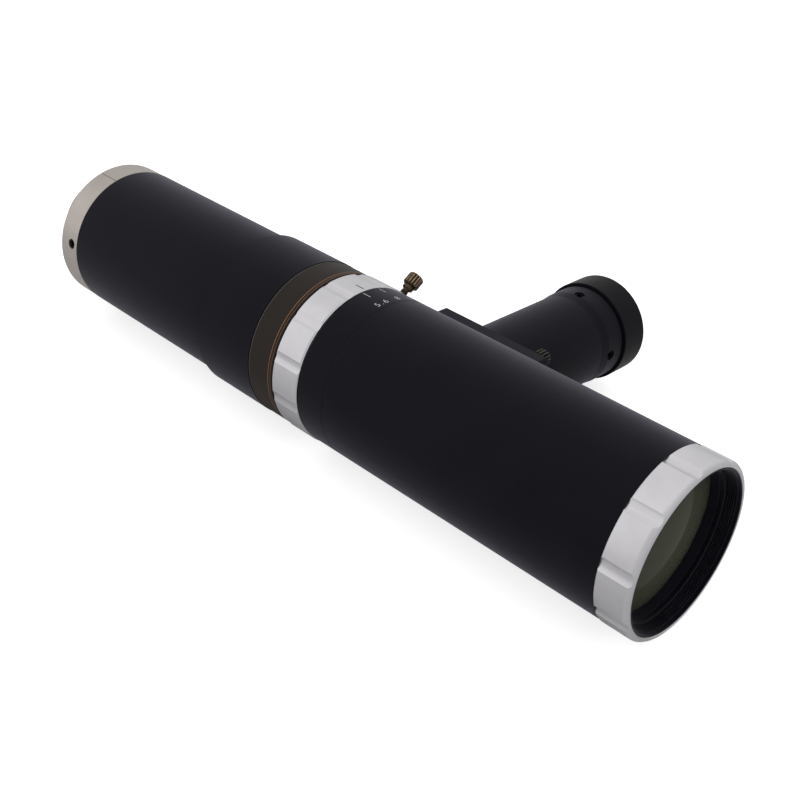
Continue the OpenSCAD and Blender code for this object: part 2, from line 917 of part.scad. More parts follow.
module aperture_lock_screw() {
    color("#7d6a55")
        at_angle(lock_screw_angle)
            translate([lock_screw_x, 0, 0])
                thumbscrew(joint_r + fit + pad_len, aperture_ring_r + lock_screw_reach);
}

module relay_lens_cell() {
    bore_r = relay_glass_r + glass_fit;
    end_x = housing_end_x;
    color("#161616")
        turned([
            [bore_r - seat_lip, relay_x],
            [cavity_r - fit, relay_x],
            [cavity_r - fit, end_x],
            [bore_r, end_x],
            [bore_r, relay_x + relay_cell_bore_lip],
            [bore_r - seat_lip, relay_x + relay_cell_bore_lip]
        ]);
}

module relay_lens() {
    color("#7f9a8a", 0.4)
        along_x(relay_x + relay_cell_bore_lip)
            glass(relay_glass_r, seat_lip, relay_lens_t, relay_sag, relay_sag);
}

module relay_lens_retainer() {
    x = relay_x + relay_cell_bore_lip + relay_lens_t;
    color("#161616")
        ring(x, relay_keeper_t, relay_glass_r, relay_glass_r - seat_lip);
}

module scale_band() {
    color("#18181a")
        turned([
            [joint_r + fit, band_x],
            [front_barrel_r - bevel, band_x],
            [front_barrel_r, band_x + bevel],
            [front_barrel_r, seam_x - edge],
            [front_barrel_r - edge, seam_x],
            [joint_r + fit, seam_x]
        ]);
}

module flange_screw_places() {
    for (u = [-flange_screw_u, flange_screw_u])
        for (v = [-flange_screw_v, flange_screw_v])
            along_port(0)
                translate([u, v, 0])
                    children();
}

module port_screw_place() {
    translate([port_x + port_screw_u, 0, port_screw_v])
        rotate([-90, 0, 0])
            children();
}

module front_barrel() {
    spigot_end = front_x + front_spigot_len;
    start_x = housing_end_x + ring_gap;
    baffle_x = port_x + holder_front + bevel;
    seat_x = front_glass_x - front_edge_t - front_spacer_t - inner_lens_t;
    color("#18181a")
        difference() {
            turned([
                [front_seat_r, start_x],
                [joint_r, start_x],
                [joint_r, seam_x],
                [front_barrel_r - edge, seam_x],
                [front_barrel_r, seam_x + edge],
                [front_barrel_r, front_x],
                [joint_r, front_x],
                [joint_r, spigot_end],
                [front_seat_r, spigot_end],
                [front_seat_r, seat_x],
                [baffle_bore_r, seat_x],
                [baffle_bore_r, baffle_x],
                [front_seat_r, baffle_x]
            ]);
            along_port(0)
                cylinder(r = port_bore_r, h = flange_y);
            flange_screw_places()
                translate([0, 0, flange_screw_in_y - fit])
                    cylinder(r = flange_screw_r + screw_fit, h = flange_y);
            port_screw_place()
                translate([0, 0, port_pad_y - fit])
                    cylinder(r = thumb_shaft_r + fit, h = flange_y);
        }
}

module front_ring() {
    corner_r = front_ring_r - front_round;
    corner_x = front_end_x - front_round;
    bore_r = joint_r + fit;
    steps = 8;
    color("#c9c7c4")
        difference() {
            turned(concat(
                [[bore_r, front_x], [front_ring_r - edge, front_x], [front_ring_r, front_x + edge]],
                [for (i = [0:steps]) [corner_r, corner_x] + polar(front_round, 90 * i / steps)],
                [[bore_r + edge, front_end_x], [bore_r, front_end_x - edge]]
            ));
            flutes(front_flutes, front_flute_angle, front_ring_r, front_flute_r, front_flute_depth,
                front_x - over, front_ring_len + 2 * over);
        }
}

module filter_ring() {
    x = front_end_x - filter_setback - filter_ring_len;
    end_x = x + filter_ring_len;
    color("#101012")
        turned([
            [filter_r, x],
            [joint_r, x],
            [joint_r, end_x],
            [filter_r + filter_bevel, end_x],
            [filter_r, end_x - filter_bevel]
        ]);
}

module front_lens_retainer() {
    outer_r = front_seat_r - fit;
    inner_r = outer_r - front_rim;
    end_x = front_glass_x + front_keeper_t;
    color("#101012")
        turned([
            [inner_r, front_glass_x],
            [outer_r, front_glass_x],
            [outer_r, end_x],
            [outer_r - edge, end_x],
            [inner_r, front_glass_x + edge]
        ]);
}

module front_lens() {
    color("#6f8f78", 0.4)
        along_x(front_glass_x - front_edge_t)
            glass(front_seat_r - glass_fit, front_rim, front_edge_t, front_dome, -front_hollow);
}

module front_lens_spacer() {
    outer_r = front_seat_r - fit;
    x = front_glass_x - front_edge_t - front_spacer_t;
    color("#101012")
        ring(x, front_spacer_t, outer_r, outer_r - front_rim);
}

module front_inner_lens() {
    x = front_glass_x - front_edge_t - front_spacer_t - inner_lens_t;
    rim = front_seat_r - baffle_bore_r + edge;
    color("#6f8f78", 0.4)
        along_x(x)
            glass(front_seat_r - glass_fit, rim, inner_lens_t, inner_sag, inner_sag);
}

// Carries shapes to the slanted seat: x along its normal, y up the slope, z unchanged
module on_slope() {
    translate([port_x, 0, 0])
        rotate([0, 0, 45])
            children();
}

module beamsplitter_holder() {
    reach = 2 * holder_r;
    color("#161616")
        difference() {
            ring(port_x - holder_back, holder_back + holder_front, holder_r, holder_bore_r);
            on_slope()
                translate([-plate_t / 2, -reach, -reach])
                    cube([reach, 2 * reach, 2 * reach]);
            clip_places()
                translate([-clip_screw_len, 0, 0])
                    rotate([0, 90, 0])
                        cylinder(r = clip_screw_r + screw_fit, h = clip_screw_len + over, $fn = 48);
        }
}

module beamsplitter_plate() {
    color("#9fb7b0", 0.4)
        on_slope()
            translate([-plate_t / 2, -plate_half_len, -plate_half_w])
                cube([plate_t, 2 * plate_half_len, 2 * plate_half_w]);
}

// Places of the two clips: x from the seat, y away from the plate's end
module clip_places() {
    for (side = [0, 1])
        on_slope()
            mirror([0, side, 0])
                translate([-plate_t / 2, plate_half_len + clip_gap + clip_len / 2, 0])
                    children();
}

module beamsplitter_clips() {
    color("#9a9a98")
        clip_places()
            difference() {
                union() {
                    translate([0, -clip_len / 2, -clip_half_w])
                        cube([plate_t + clip_t, clip_len, 2 * clip_half_w]);
                    translate([plate_t, -clip_len / 2 - clip_over, -clip_half_w])
                        cube([clip_t, clip_over + clip_len, 2 * clip_half_w]);
                }
                translate([-over, 0, 0])
                    rotate([0, 90, 0])
                        cylinder(r = clip_screw_r + screw_fit, h = plate_t + clip_t + 2 * over, $fn = 48);
            }
}

module beamsplitter_screws() {
    head_x = plate_t + clip_t;
    color("#4a4846")
        clip_places()
            rotate([0, 90, 0]) {
                translate([0, 0, -clip_screw_len + fit])
                    cylinder(r = clip_screw_r, h = clip_screw_len - fit + head_x, $fn = 48);
                translate([0, 0, head_x])
                    cylinder(r = clip_head_r, h = clip_head_len, $fn = 48);
            }
}

// Rounded rectangle, centred
module rounded_rectangle(width, height, corner_r) {
    square([width - 2 * corner_r, height], center = true);
    square([width, height - 2 * corner_r], center = true);
    for (u = [-1, 1])
        for (v = [-1, 1])
            translate([u * (width / 2 - corner_r), v * (height / 2 - corner_r)])
                circle(r = corner_r, $fn = 48);
}

module port_flange() {
    saddle_r = front_barrel_r + saddle_fit;
    foot_y = sqrt(saddle_r * saddle_r - flange_h * flange_h / 4);
    color("#18181a")
        difference() {
            along_port(foot_y)
                linear_extrude(flange_y - foot_y)
                    rounded_rectangle(flange_len, flange_h, flange_corner_r);
            along_x(0)
                cylinder(r = saddle_r, h = front_end_x, $fn = 180);
            along_port(0)
                cylinder(r = port_bore_r, h = flange_y + over);
            flange_screw_places() {
                cylinder(r = flange_screw_r + screw_fit, h = flange_y + over);
                translate([0, 0, flange_y - flange_head_len])
                    cylinder(r1 = flange_screw_r + screw_fit, r2 = flange_head_r + screw_fit,
                        h = flange_head_len + fit);
            }
            port_screw_place()
                cylinder(r = thumb_shaft_r + fit, h = flange_y + over);
        }
}

module flange_screws() {
    head_from = flange_y - flange_head_len;
    color("#2c2b2a")
        flange_screw_places()
            difference() {
                union() {
                    translate([0, 0, flange_screw_in_y])
                        cylinder(r = flange_screw_r, h = head_from - flange_screw_in_y);
                    translate([0, 0, head_from])
                        cylinder(r1 = flange_screw_r, r2 = flange_head_r, h = flange_head_len);
                }
                translate([-flange_head_r, -flange_slot_w / 2, flange_y - flange_slot_depth])
                    cube([2 * flange_head_r, flange_slot_w, flange_slot_depth + over]);
            }
}

module port_lock_pad() {
    color("#d8d4c4")
        port_screw_place()
            translate([0, 0, port_pad_y])
                cylinder(r = pad_r, h = pad_len);
}

module port_lock_screw() {
    color("#7d6a55")
        port_screw_place()
            thumbscrew(port_pad_y + pad_len, flange_y + port_screw_reach);
}

module illumination_tube() {
    collar_y = tube_end_y - tube_collar_len;
    color("#18181a")
        difference() {
            port_turned([
                [tube_channel_r, port_spigot_in_y],
                [port_bore_r - fit, port_spigot_in_y],
                [port_bore_r - fit, flange_y],
                [tube_r, flange_y],
                [tube_r, collar_y - tube_cone_len],
                [tube_collar_r, collar_y],
                [tube_collar_r, tube_end_y - edge],
                [tube_collar_r - edge, tube_end_y],
                [mouth_r + edge, tube_end_y],
                [mouth_r, tube_end_y - edge],
                [mouth_r, tube_end_y - mouth_depth],
                [light_bore_r, tube_end_y - mouth_depth],
                [light_bore_r, light_seat_y],
                [optic_bore_r, light_seat_y],
                [optic_bore_r, condenser_y],
                [tube_channel_r, condenser_y]
            ]);
            tube_screw_places()
                translate([0, 0, light_bore_r - over])
                    cylinder(r = set_screw_r + screw_fit, h = tube_collar_r - light_bore_r + 2 * over);
        }
}

module tube_screw_places() {
    for (i = [0:tube_screws - 1])
        translate([port_x, tube_screw_y, 0])
            rotate([0, i * 360 / tube_screws, 0])
                children();
}

module tube_set_screws() {
    color("#4a4846")
        tube_screw_places()
            set_screw(light_bore_r + fit, tube_collar_r - screw_sunk, 0);
}

module condenser_lens() {
    color("#7f9a8a", 0.4)
        along_port(condenser_y)
            glass(optic_bore_r - glass_fit, optic_bore_r - tube_channel_r, condenser_t, 0, condenser_sag);
}

module port_ring(y, length, wall) {
    outer_r = optic_bore_r - fit;
    port_turned([[outer_r - wall, y], [outer_r, y], [outer_r, y + length], [outer_r - wall, y + length]]);
}

module condenser_spacer() {
    color("#161616")
        port_ring(condenser_y + condenser_t, condenser_gap, condenser_wall);
}

module light_diffuser() {
    color("#e4e6e4", 0.6)
        along_port(diffuser_y)
            cylinder(r = optic_bore_r - glass_fit, h = diffuser_t);
}

module diffuser_retainer() {
    color("#161616")
        port_ring(diffuser_y + diffuser_t, diffuser_keeper_t, condenser_wall);
}

// The plug enters the tube, the neck leaves the dark groove, and the head's outer edge is rounded
module end_cap() {
    head_y = tube_end_y + cap_neck_len;
    end_y = head_y + cap_len;
    plug_r = mouth_r - cap_plug_room;
    corner_r = cap_r - cap_round;
    steps = 6;
    color("#141416")
        port_turned(concat(
            [
                [0, tube_end_y],
                [cap_hollow_r, tube_end_y],
                [cap_hollow_r, tube_end_y - cap_plug_len],
                [plug_r - edge, tube_end_y - cap_plug_len],
                [plug_r, tube_end_y - cap_plug_len + edge],
                [plug_r, tube_end_y],
                [cap_neck_r, tube_end_y],
                [cap_neck_r, head_y],
                [cap_r - edge, head_y],
                [cap_r, head_y + edge]
            ],
            [for (i = [0:steps]) [corner_r, end_y - cap_round] + polar(cap_round, 90 * i / steps)],
            [[0, end_y]]
        ));
}

mount_adapter();
rear_ring();
mount_set_screws();
rear_barrel();
middle_barrel();
label_ring();
field_lens_cell();
field_lens();
field_lens_retainer();
rear_lens_cell();
rear_lens();
rear_lens_spacer();
rear_inner_lens();
rear_lens_retainer();
iris_housing();
aperture_ring();
aperture_drive_pin();
iris_drive_ring();
iris_retaining_ring();
iris_blade_1();
iris_blade_2();
iris_blade_3();
iris_blade_4();
iris_blade_5();
iris_blade_6();
aperture_lock_pad();
aperture_lock_screw();
relay_lens_cell();
relay_lens();
relay_lens_retainer();
scale_band();
front_barrel();
front_ring();
filter_ring();
front_lens();
front_lens_spacer();
front_inner_lens();
front_lens_retainer();
beamsplitter_holder();
beamsplitter_plate();
beamsplitter_clips();
beamsplitter_screws();
port_flange();
flange_screws();
port_lock_pad();
port_lock_screw();
illumination_tube();
tube_set_screws();
condenser_lens();
condenser_spacer();
light_diffuser();
diffuser_retainer();
end_cap();
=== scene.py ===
"""Looks, camera and stage of a machine vision lens with a side tube for coaxial light."""

import math

import bpy
from bpy.props import FloatProperty, FloatVectorProperty, IntProperty, PointerProperty
from mathutils import Matrix, Vector


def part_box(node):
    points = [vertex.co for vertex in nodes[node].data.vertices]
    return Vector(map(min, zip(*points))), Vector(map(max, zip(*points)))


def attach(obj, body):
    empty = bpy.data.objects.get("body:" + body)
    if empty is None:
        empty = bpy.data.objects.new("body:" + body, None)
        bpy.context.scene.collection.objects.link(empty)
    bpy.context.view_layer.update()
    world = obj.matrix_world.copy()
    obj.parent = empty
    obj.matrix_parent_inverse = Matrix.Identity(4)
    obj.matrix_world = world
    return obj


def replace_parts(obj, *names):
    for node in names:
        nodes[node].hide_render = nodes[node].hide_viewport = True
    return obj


bl_info = {
    "name": "Machine Vision Lens",
    "version": (1, 0, 0),
    "blender": (4, 5, 0),
    "location": "3D View > Sidebar > Lens",
    "description": "Finishes a machine vision lens: threads, screws, scale, materials and stage",
    "category": "Object",
}

MM = 0.001
FULL_TURN = 2 * math.pi
# Place of the aperture thumbscrew round the barrel, from +Z towards +Y
SCREW_ANGLE = math.radians(55.5)
# Light added to the floor where the camera sees it, so that the paper reads as white
FLOOR_GLOW = 0.74

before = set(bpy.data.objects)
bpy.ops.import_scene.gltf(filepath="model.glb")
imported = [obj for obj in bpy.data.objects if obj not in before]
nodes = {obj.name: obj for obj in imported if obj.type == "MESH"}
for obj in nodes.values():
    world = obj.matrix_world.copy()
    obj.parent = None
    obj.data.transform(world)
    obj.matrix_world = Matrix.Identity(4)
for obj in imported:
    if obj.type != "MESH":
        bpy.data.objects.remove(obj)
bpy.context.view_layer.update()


def linear(code):
    """Turns an sRGB hex value into the linear colour that Blender works in."""
    channels = [int(code[i : i + 2], 16) / 255 for i in (1, 3, 5)]
    return [c / 12.92 if c <= 0.04045 else ((c + 0.055) / 1.055) ** 2.4 for c in channels]


def opaque(colour):
    """Adds the alpha that a colour socket expects."""
    return (colour[0], colour[1], colour[2], 1.0)


class LensSizes(bpy.types.PropertyGroup):
    """Sizes of the details that the scene adds to the solids."""

    nose_thread_r: FloatProperty(
        name="Nose Thread Radius", description="Outer radius of the camera thread", default=21 * MM,
        unit="LENGTH"
    )
    nose_pitch: FloatProperty(
        name="Nose Thread Pitch", description="Pitch of the camera thread", default=0.75 * MM, unit="LENGTH"
    )
    nose_thread_depth: FloatProperty(
        name="Nose Thread Depth", description="Depth of the camera thread", default=0.46 * MM, unit="LENGTH"
    )
    filter_pitch: FloatProperty(
        name="Filter Thread Pitch", description="Pitch of the filter thread", default=0.75 * MM,
        unit="LENGTH"
    )
    filter_thread_depth: FloatProperty(
        name="Filter Thread Depth", description="Depth of the filter thread", default=0.45 * MM,
        unit="LENGTH"
    )
    screw_pitch: FloatProperty(
        name="Thumbscrew Pitch", description="Pitch of the thumbscrews' thread", default=0.45 * MM,
        unit="LENGTH"
    )
    screw_ridges: IntProperty(
        name="Thumbscrew Ridges", description="Number of straight ridges round a thumbscrew's head",
        default=16,
        min=8
    )
    screw_ridge_depth: FloatProperty(
        name="Ridge Depth", description="Depth of the grooves between the ridges", default=0.45 * MM,
        unit="LENGTH"
    )
    numeral_height: FloatProperty(
        name="Numeral Height", description="Height of the numbers on the scale", default=2.5 * MM,
        unit="LENGTH"
    )
    tick_width: FloatProperty(
        name="Tick Width", description="Width of the scale's lines", default=0.22 * MM, unit="LENGTH"
    )
    paint_height: FloatProperty(
        name="Paint Height", description="How far printed paint stands over the metal", default=0.015 * MM,
        unit="LENGTH", precision=6
    )


class LensColours(bpy.types.PropertyGroup):
    """Colours of the main finishes."""

    anodised: FloatVectorProperty(
        name="Black Anodising", description="Colour of the black barrels", default=linear("#131218"),
        subtype="COLOR"
    )
    silver: FloatVectorProperty(
        name="Silver Rings", description="Colour of the fluted rings", default=linear("#dedcdf"),
        subtype="COLOR"
    )
    nickel: FloatVectorProperty(
        name="Camera Ring", description="Colour of the ring at the camera end", default=linear("#c6beb8"),
        subtype="COLOR"
    )
    label: FloatVectorProperty(
        name="Label Ring", description="Colour of the label ring", default=linear("#2b2420"),
        subtype="COLOR"
    )
    copper: FloatVectorProperty(
        name="Copper Lines", description="Colour of the lines on the label ring", default=linear("#b77b4b"),
        subtype="COLOR"
    )
    bronze: FloatVectorProperty(
        name="Thumbscrews", description="Colour of the thumbscrews", default=linear("#5e5044"),
        subtype="COLOR"
    )
    # Paler bronze for the ridges' crests: a painted highlight where the knurl catches the light
    worn_bronze: FloatVectorProperty(
        name="Ridge Highlight", description="Painted highlight on the thumbscrews' ridges",
        default=linear("#b79c80"), subtype="COLOR"
    )
    coating: FloatVectorProperty(
        name="Glass Coating", description="Tint that the coating gives to reflections",
        default=linear("#6b775a"),
        subtype="COLOR"
    )


class StageSettings(bpy.types.PropertyGroup):
    """Camera, lamps and floor."""

    azimuth: FloatProperty(
        name="Azimuth", description="Angle of the camera round the lens, from the side towards the front",
        default=math.radians(41.64), subtype="ANGLE"
    )
    elevation: FloatProperty(
        name="Elevation", description="Angle of the camera over the optical axis",
        default=math.radians(31.25),
        subtype="ANGLE"
    )
    roll: FloatProperty(
        name="Roll", description="Turn of the camera about its own view",
        default=math.radians(5.25), subtype="ANGLE"
    )
    distance: FloatProperty(
        name="Distance", description="Distance of the camera from the point it looks at", default=0.42663,
        unit="LENGTH"
    )
    aim: FloatProperty(
        name="Aim", description="Place on the optical axis that the camera looks at", default=0.159,
        unit="LENGTH"
    )
    aside: FloatProperty(
        name="Aside", description="Shift of the camera to its right", default=5.35 * MM, unit="LENGTH"
    )
    above: FloatProperty(
        name="Above", description="Shift of the camera upwards", default=-6.81 * MM, unit="LENGTH"
    )
    focal_mm: FloatProperty(
        name="Focal Length", description="Focal length on a sensor 36 mm wide", default=54.776, min=10
    )
    key_power: FloatProperty(
        name="Key Lamp", description="Power of the soft lamp over the lens", default=1.7, min=0,
        subtype="POWER"
    )
    back_power: FloatProperty(
        name="Back Lamp", description="Power of the soft lamp behind the lens", default=0.3, min=0,
        subtype="POWER"
    )
    side_power: FloatProperty(
        name="Side Lamp", description="Power of the soft lamp beside the camera", default=1.3, min=0,
        subtype="POWER"
    )
    room_light: FloatProperty(
        name="Room Light", description="Strength of the even light of the room", default=0.6, min=0
    )
    mirrored_light: FloatProperty(
        name="Mirrored Light", description="Strength of the room as metal and glass reflect it", default=0.66,
        min=0
    )
    floor: FloatVectorProperty(
        name="Floor", description="Colour of the paper floor", default=linear("#e4e4e4"), subtype="COLOR"
    )


def add_node(tree, kind, sockets=None, **settings):
    """Adds a shader node with its settings; a socket given to an input is linked, and a value is set."""
    made = tree.nodes.new(kind)
    for name, value in settings.items():
        setattr(made, name, value)
    for key, value in (sockets or {}).items():
        if isinstance(value, bpy.types.NodeSocket):
            tree.links.new(value, made.inputs[key])
        else:
            made.inputs[key].default_value = value
    return made


def new_material(name):
    """Starts a material with its shader, and returns both with the object's own coordinates."""
    material = bpy.data.materials.new(name)
    material.use_nodes = True
    tree = material.node_tree
    shader = tree.nodes["Principled BSDF"]
    place = add_node(tree, "ShaderNodeTexCoord").outputs["Object"]
    return material, tree, shader, place


def mottle(tree, shader, place, dark, light, patch_mm, rough):
    """Slow changes of colour and gloss over a surface, as from dye and handling."""
    patches = add_node(
        tree, "ShaderNodeTexNoise",
        {"Vector": place, "Scale": 1 / (patch_mm * MM), "Detail": 4.0, "Roughness": 0.6}
    )
    colour = add_node(tree, "ShaderNodeValToRGB", {"Fac": patches.outputs["Fac"]})
    colour.color_ramp.elements[0].position = 0.35
    colour.color_ramp.elements[0].color = opaque(dark)
    colour.color_ramp.elements[1].position = 0.68
    colour.color_ramp.elements[1].color = opaque(light)
    gloss = add_node(
        tree, "ShaderNodeMapRange",
        {"Value": patches.outputs["Fac"], "From Min": 0.3, "From Max": 0.7,
         "To Min": rough[0], "To Max": rough[1]}
    )
    tree.links.new(colour.outputs["Color"], shader.inputs["Base Color"])
    tree.links.new(gloss.outputs["Result"], shader.inputs["Roughness"])


def turned_relief(tree, shader, place, axis, line_mm, line_depth_mm, grain_mm, grain_depth_mm):
    """Fine lathe lines across an axis, with blasted grain over them, both as bump."""
    apart = add_node(tree, "ShaderNodeSeparateXYZ", {"Vector": place})
    lines = add_node(
        tree, "ShaderNodeTexNoise",
        {"W": apart.outputs[axis], "Scale": 1 / (line_mm * MM), "Detail": 2.0, "Roughness": 0.7},
        noise_dimensions="1D"
    )
    grain = add_node(
        tree, "ShaderNodeTexNoise", {"Vector": place, "Scale": 1 / (grain_mm * MM), "Detail": 2.0}
    )
    first = add_node(
        tree, "ShaderNodeBump",
        {"Height": lines.outputs["Fac"], "Distance": line_depth_mm * MM, "Strength": 1.0}
    )
    second = add_node(
        tree, "ShaderNodeBump",
        {"Height": grain.outputs["Fac"], "Distance": grain_depth_mm * MM, "Strength": 1.0,
         "Normal": first.outputs["Normal"]}
    )
    tree.links.new(second.outputs["Normal"], shader.inputs["Normal"])


def brushed_relief(tree, shader, place, stretch, line_mm, depth_mm, rough):
    """Short brush marks that run along the optical axis, in the gloss and as bump."""
    laid = add_node(tree, "ShaderNodeMapping", {"Vector": place, "Scale": stretch})
    marks = add_node(
        tree, "ShaderNodeTexNoise",
        {"Vector": laid.outputs["Vector"], "Scale": 1 / (line_mm * MM), "Detail": 3.0}
    )
    gloss = add_node(
        tree, "ShaderNodeMapRange",
        {"Value": marks.outputs["Fac"], "From Min": 0.3, "From Max": 0.7,
         "To Min": rough[0], "To Max": rough[1]}
    )
    relief = add_node(
        tree, "ShaderNodeBump", {"Height": marks.outputs["Fac"], "Distance": depth_mm * MM, "Strength": 1.0}
    )
    tree.links.new(gloss.outputs["Result"], shader.inputs["Roughness"])
    tree.links.new(relief.outputs["Normal"], shader.inputs["Normal"])


def black_anodised_aluminium(name, axis):
    """Blasted and black anodised aluminium: near black, a soft sheen, lathe lines and fine grain."""
    material, tree, shader, place = new_material(name)
    base = bpy.context.scene.lens_colours.anodised
    mottle(tree, shader, place, [0.85 * c for c in base], [1.15 * c for c in base], 22, (0.46, 0.54))
    # Grit of about 0.1 mm is drawn at 0.22 mm, so that it shows
    turned_relief(tree, shader, place, axis, 0.5, 0.001, 0.22, 0.003)
    shader.inputs["Specular IOR Level"].default_value = 0.08
    shader.inputs["Specular Tint"].default_value = opaque(linear("#e4e4fc"))
    shader.inputs["Sheen Weight"].default_value = 0.32
    shader.inputs["Sheen Roughness"].default_value = 0.35
    shader.inputs["Sheen Tint"].default_value = opaque(linear("#e6e6fa"))
    return material


def satin_silver(name, colour, rough):
    """Clear anodised aluminium or nickel, brushed along the axis: pale, soft and streaky."""
    material, tree, shader, place = new_material(name)
    shader.inputs["Metallic"].default_value = 1.0
    patches = add_node(
        tree, "ShaderNodeTexNoise",
        {"Vector": place, "Scale": 1 / (14 * MM), "Detail": 5.0, "Roughness": 0.65}
    )
    tone = add_node(tree, "ShaderNodeValToRGB", {"Fac": patches.outputs["Fac"]})
    tone.color_ramp.elements[0].position = 0.3
    tone.color_ramp.elements[0].color = opaque([0.9 * c for c in colour])
    tone.color_ramp.elements[1].position = 0.7
    tone.color_ramp.elements[1].color = opaque(colour)
    tree.links.new(tone.outputs["Color"], shader.inputs["Base Color"])
    brushed_relief(tree, shader, place, (0.06, 1.0, 1.0), 0.3, 0.003, rough)
    return material


def brown_anodised_aluminium(name):
    """Very dark brown anodising on the label ring: warmer and a little glossier than the barrels."""
    material, tree, shader, place = new_material(name)
    base = bpy.context.scene.lens_colours.label
    mottle(tree, shader, place, [0.85 * c for c in base], [1.15 * c for c in base], 16, (0.44, 0.52))
    turned_relief(tree, shader, place, "X", 0.4, 0.001, 0.2, 0.003)
    shader.inputs["Specular IOR Level"].default_value = 0.15
    return material


def lacquered_line(name, colour, metallic, rough):
    """Thin lacquer in an engraved line or a printed figure: even colour with a faint grain."""
    material, tree, shader, place = new_material(name)
    shader.inputs["Metallic"].default_value = metallic
    mottle(tree, shader, place, [0.88 * c for c in colour], colour, 1.5, (rough, rough + 0.1))
    return material


def plated_bronze(name, colour):
    """Dark bronze plating on turned brass: brown and slightly uneven. A paler colour paints the highlight on
    the knurl's ridges, and a darker one the painted shade of the screw by the flange.
    """
    material, tree, shader, place = new_material(name)
    shader.inputs["Metallic"].default_value = 1.0
    mottle(tree, shader, place, [0.6 * c for c in colour], [1.1 * c for c in colour], 1.2, (0.28, 0.42))
    grain = add_node(tree, "ShaderNodeTexNoise", {"Vector": place, "Scale": 1 / (0.12 * MM), "Detail": 2.0})
    relief = add_node(
        tree, "ShaderNodeBump", {"Height": grain.outputs["Fac"], "Distance": 0.003 * MM, "Strength": 1.0}
    )
    tree.links.new(relief.outputs["Normal"], shader.inputs["Normal"])
    return material


def machined_metal(name, colour, patch_mm, rough):
    """Steel or brass as it leaves the machine, with slight stains and scratches."""
    material, tree, shader, place = new_material(name)
    shader.inputs["Metallic"].default_value = 1.0
    mottle(tree, shader, place, [0.75 * c for c in colour], colour, patch_mm, rough)
    scratches = add_node(
        tree, "ShaderNodeTexNoise", {"Vector": place, "Scale": 1 / (0.25 * MM), "Detail": 3.0}
    )
    relief = add_node(
        tree, "ShaderNodeBump", {"Height": scratches.outputs["Fac"], "Distance": 0.003 * MM, "Strength": 1.0}
    )
    tree.links.new(relief.outputs["Normal"], shader.inputs["Normal"])
    return material


def optical_glass(name, colour, tint, clear, index, rough):
    """Polished optical glass: its coating tints what it reflects, and dust dulls it slightly."""
    material, tree, shader, place = new_material(name)
    shader.inputs["Base Color"].default_value = opaque(colour)
    shader.inputs["Transmission Weight"].default_value = clear
    shader.inputs["IOR"].default_value = index
    shader.inputs["Specular Tint"].default_value = opaque(tint)
    dust = add_node(tree, "ShaderNodeTexNoise", {"Vector": place, "Scale": 1 / (7 * MM), "Detail": 6.0})
    haze = add_node(
        tree, "ShaderNodeMapRange",
        {"Value": dust.outputs["Fac"], "From Min": 0.45, "From Max": 0.75,
         "To Min": rough[0], "To Max": rough[1]}
    )
    tree.links.new(haze.outputs["Result"], shader.inputs["Roughness"])
    return material


def moulded_plastic(name, dark, light, grain_mm, rough):
    """Moulded plastic with a fine spark-eroded grain."""
    material, tree, shader, place = new_material(name)
    mottle(tree, shader, place, dark, light, 12, rough)
    grain = add_node(
        tree, "ShaderNodeTexNoise", {"Vector": place, "Scale": 1 / (grain_mm * MM), "Detail": 2.0}
    )
    relief = add_node(
        tree, "ShaderNodeBump", {"Height": grain.outputs["Fac"], "Distance": 0.006 * MM, "Strength": 1.0}
    )
    tree.links.new(relief.outputs["Normal"], shader.inputs["Normal"])
    shader.inputs["Specular IOR Level"].default_value = 0.06
    shader.inputs["Sheen Weight"].default_value = 0.2
    shader.inputs["Sheen Roughness"].default_value = 0.35
    return material


def finish(material, *names):
    """Gives CAD nodes a material in place of their plain one."""
    for name in names:
        piece = nodes[name]
        if not piece.material_slots:
            piece.data.materials.append(material)
        for slot in piece.material_slots:
            slot.material = material


def shared_material(name, make, *details):
    """Makes a material once, and returns it again to later callers."""
    return bpy.data.materials.get(name) or make(name, *details)


def leave_all():
    """Leaves edit mode and deselects everything."""
    if bpy.context.mode != "OBJECT":
        bpy.ops.object.mode_set(mode="OBJECT")
    bpy.ops.object.select_all(action="DESELECT")


def pick(*pieces):
    """Selects pieces, and makes the first one active."""
    leave_all()
    for piece in pieces:
        piece.select_set(True)
    bpy.context.view_layer.objects.active = pieces[0]


def draw_outline(name, points):
    """Draws a closed outline: one point is extruded from place to place, and the last joins the first."""
    leave_all()
    bpy.ops.mesh.primitive_plane_add(size=MM, location=points[0])
    piece = bpy.context.object
    piece.name = piece.data.name = name
    bpy.ops.object.transform_apply(location=True, rotation=False, scale=False)
    bpy.ops.object.mode_set(mode="EDIT")
    bpy.ops.mesh.select_all(action="SELECT")
    bpy.ops.mesh.merge(type="CENTER")
    for here, there in zip(points, points[1:] + points[:1]):
        step = Vector(there) - Vector(here)
        bpy.ops.mesh.extrude_vertices_move(TRANSFORM_OT_translate={"value": step})
    bpy.ops.mesh.select_all(action="SELECT")
    bpy.ops.mesh.remove_doubles(threshold=MM / 1000)
    return piece


def tidy_shell(piece, smooth_angle=35):
    """Merges doubles, turns the faces outwards and smooths all but the sharp edges."""
    pick(piece)
    bpy.ops.object.mode_set(mode="EDIT")
    bpy.ops.mesh.select_all(action="SELECT")
    bpy.ops.mesh.remove_doubles(threshold=MM / 1000)
    bpy.ops.mesh.normals_make_consistent(inside=False)
    bpy.ops.object.mode_set(mode="OBJECT")
    bpy.ops.object.shade_smooth_by_angle(angle=math.radians(smooth_angle))


def turned_piece(name, outline, steps=160, upright=False):
    """Turns an outline of [place, radius] in millimetres round the optical axis, or round Z if upright."""
    if upright:
        points = [(r * MM, 0, along * MM) for along, r in outline]
    else:
        points = [(along * MM, 0, r * MM) for along, r in outline]
    piece = draw_outline(name, points)
    axis = (0, 0, 1) if upright else (1, 0, 0)
    bpy.ops.mesh.spin(steps=steps, angle=FULL_TURN, center=(0, 0, 0), axis=axis)
    tidy_shell(piece)
    return piece


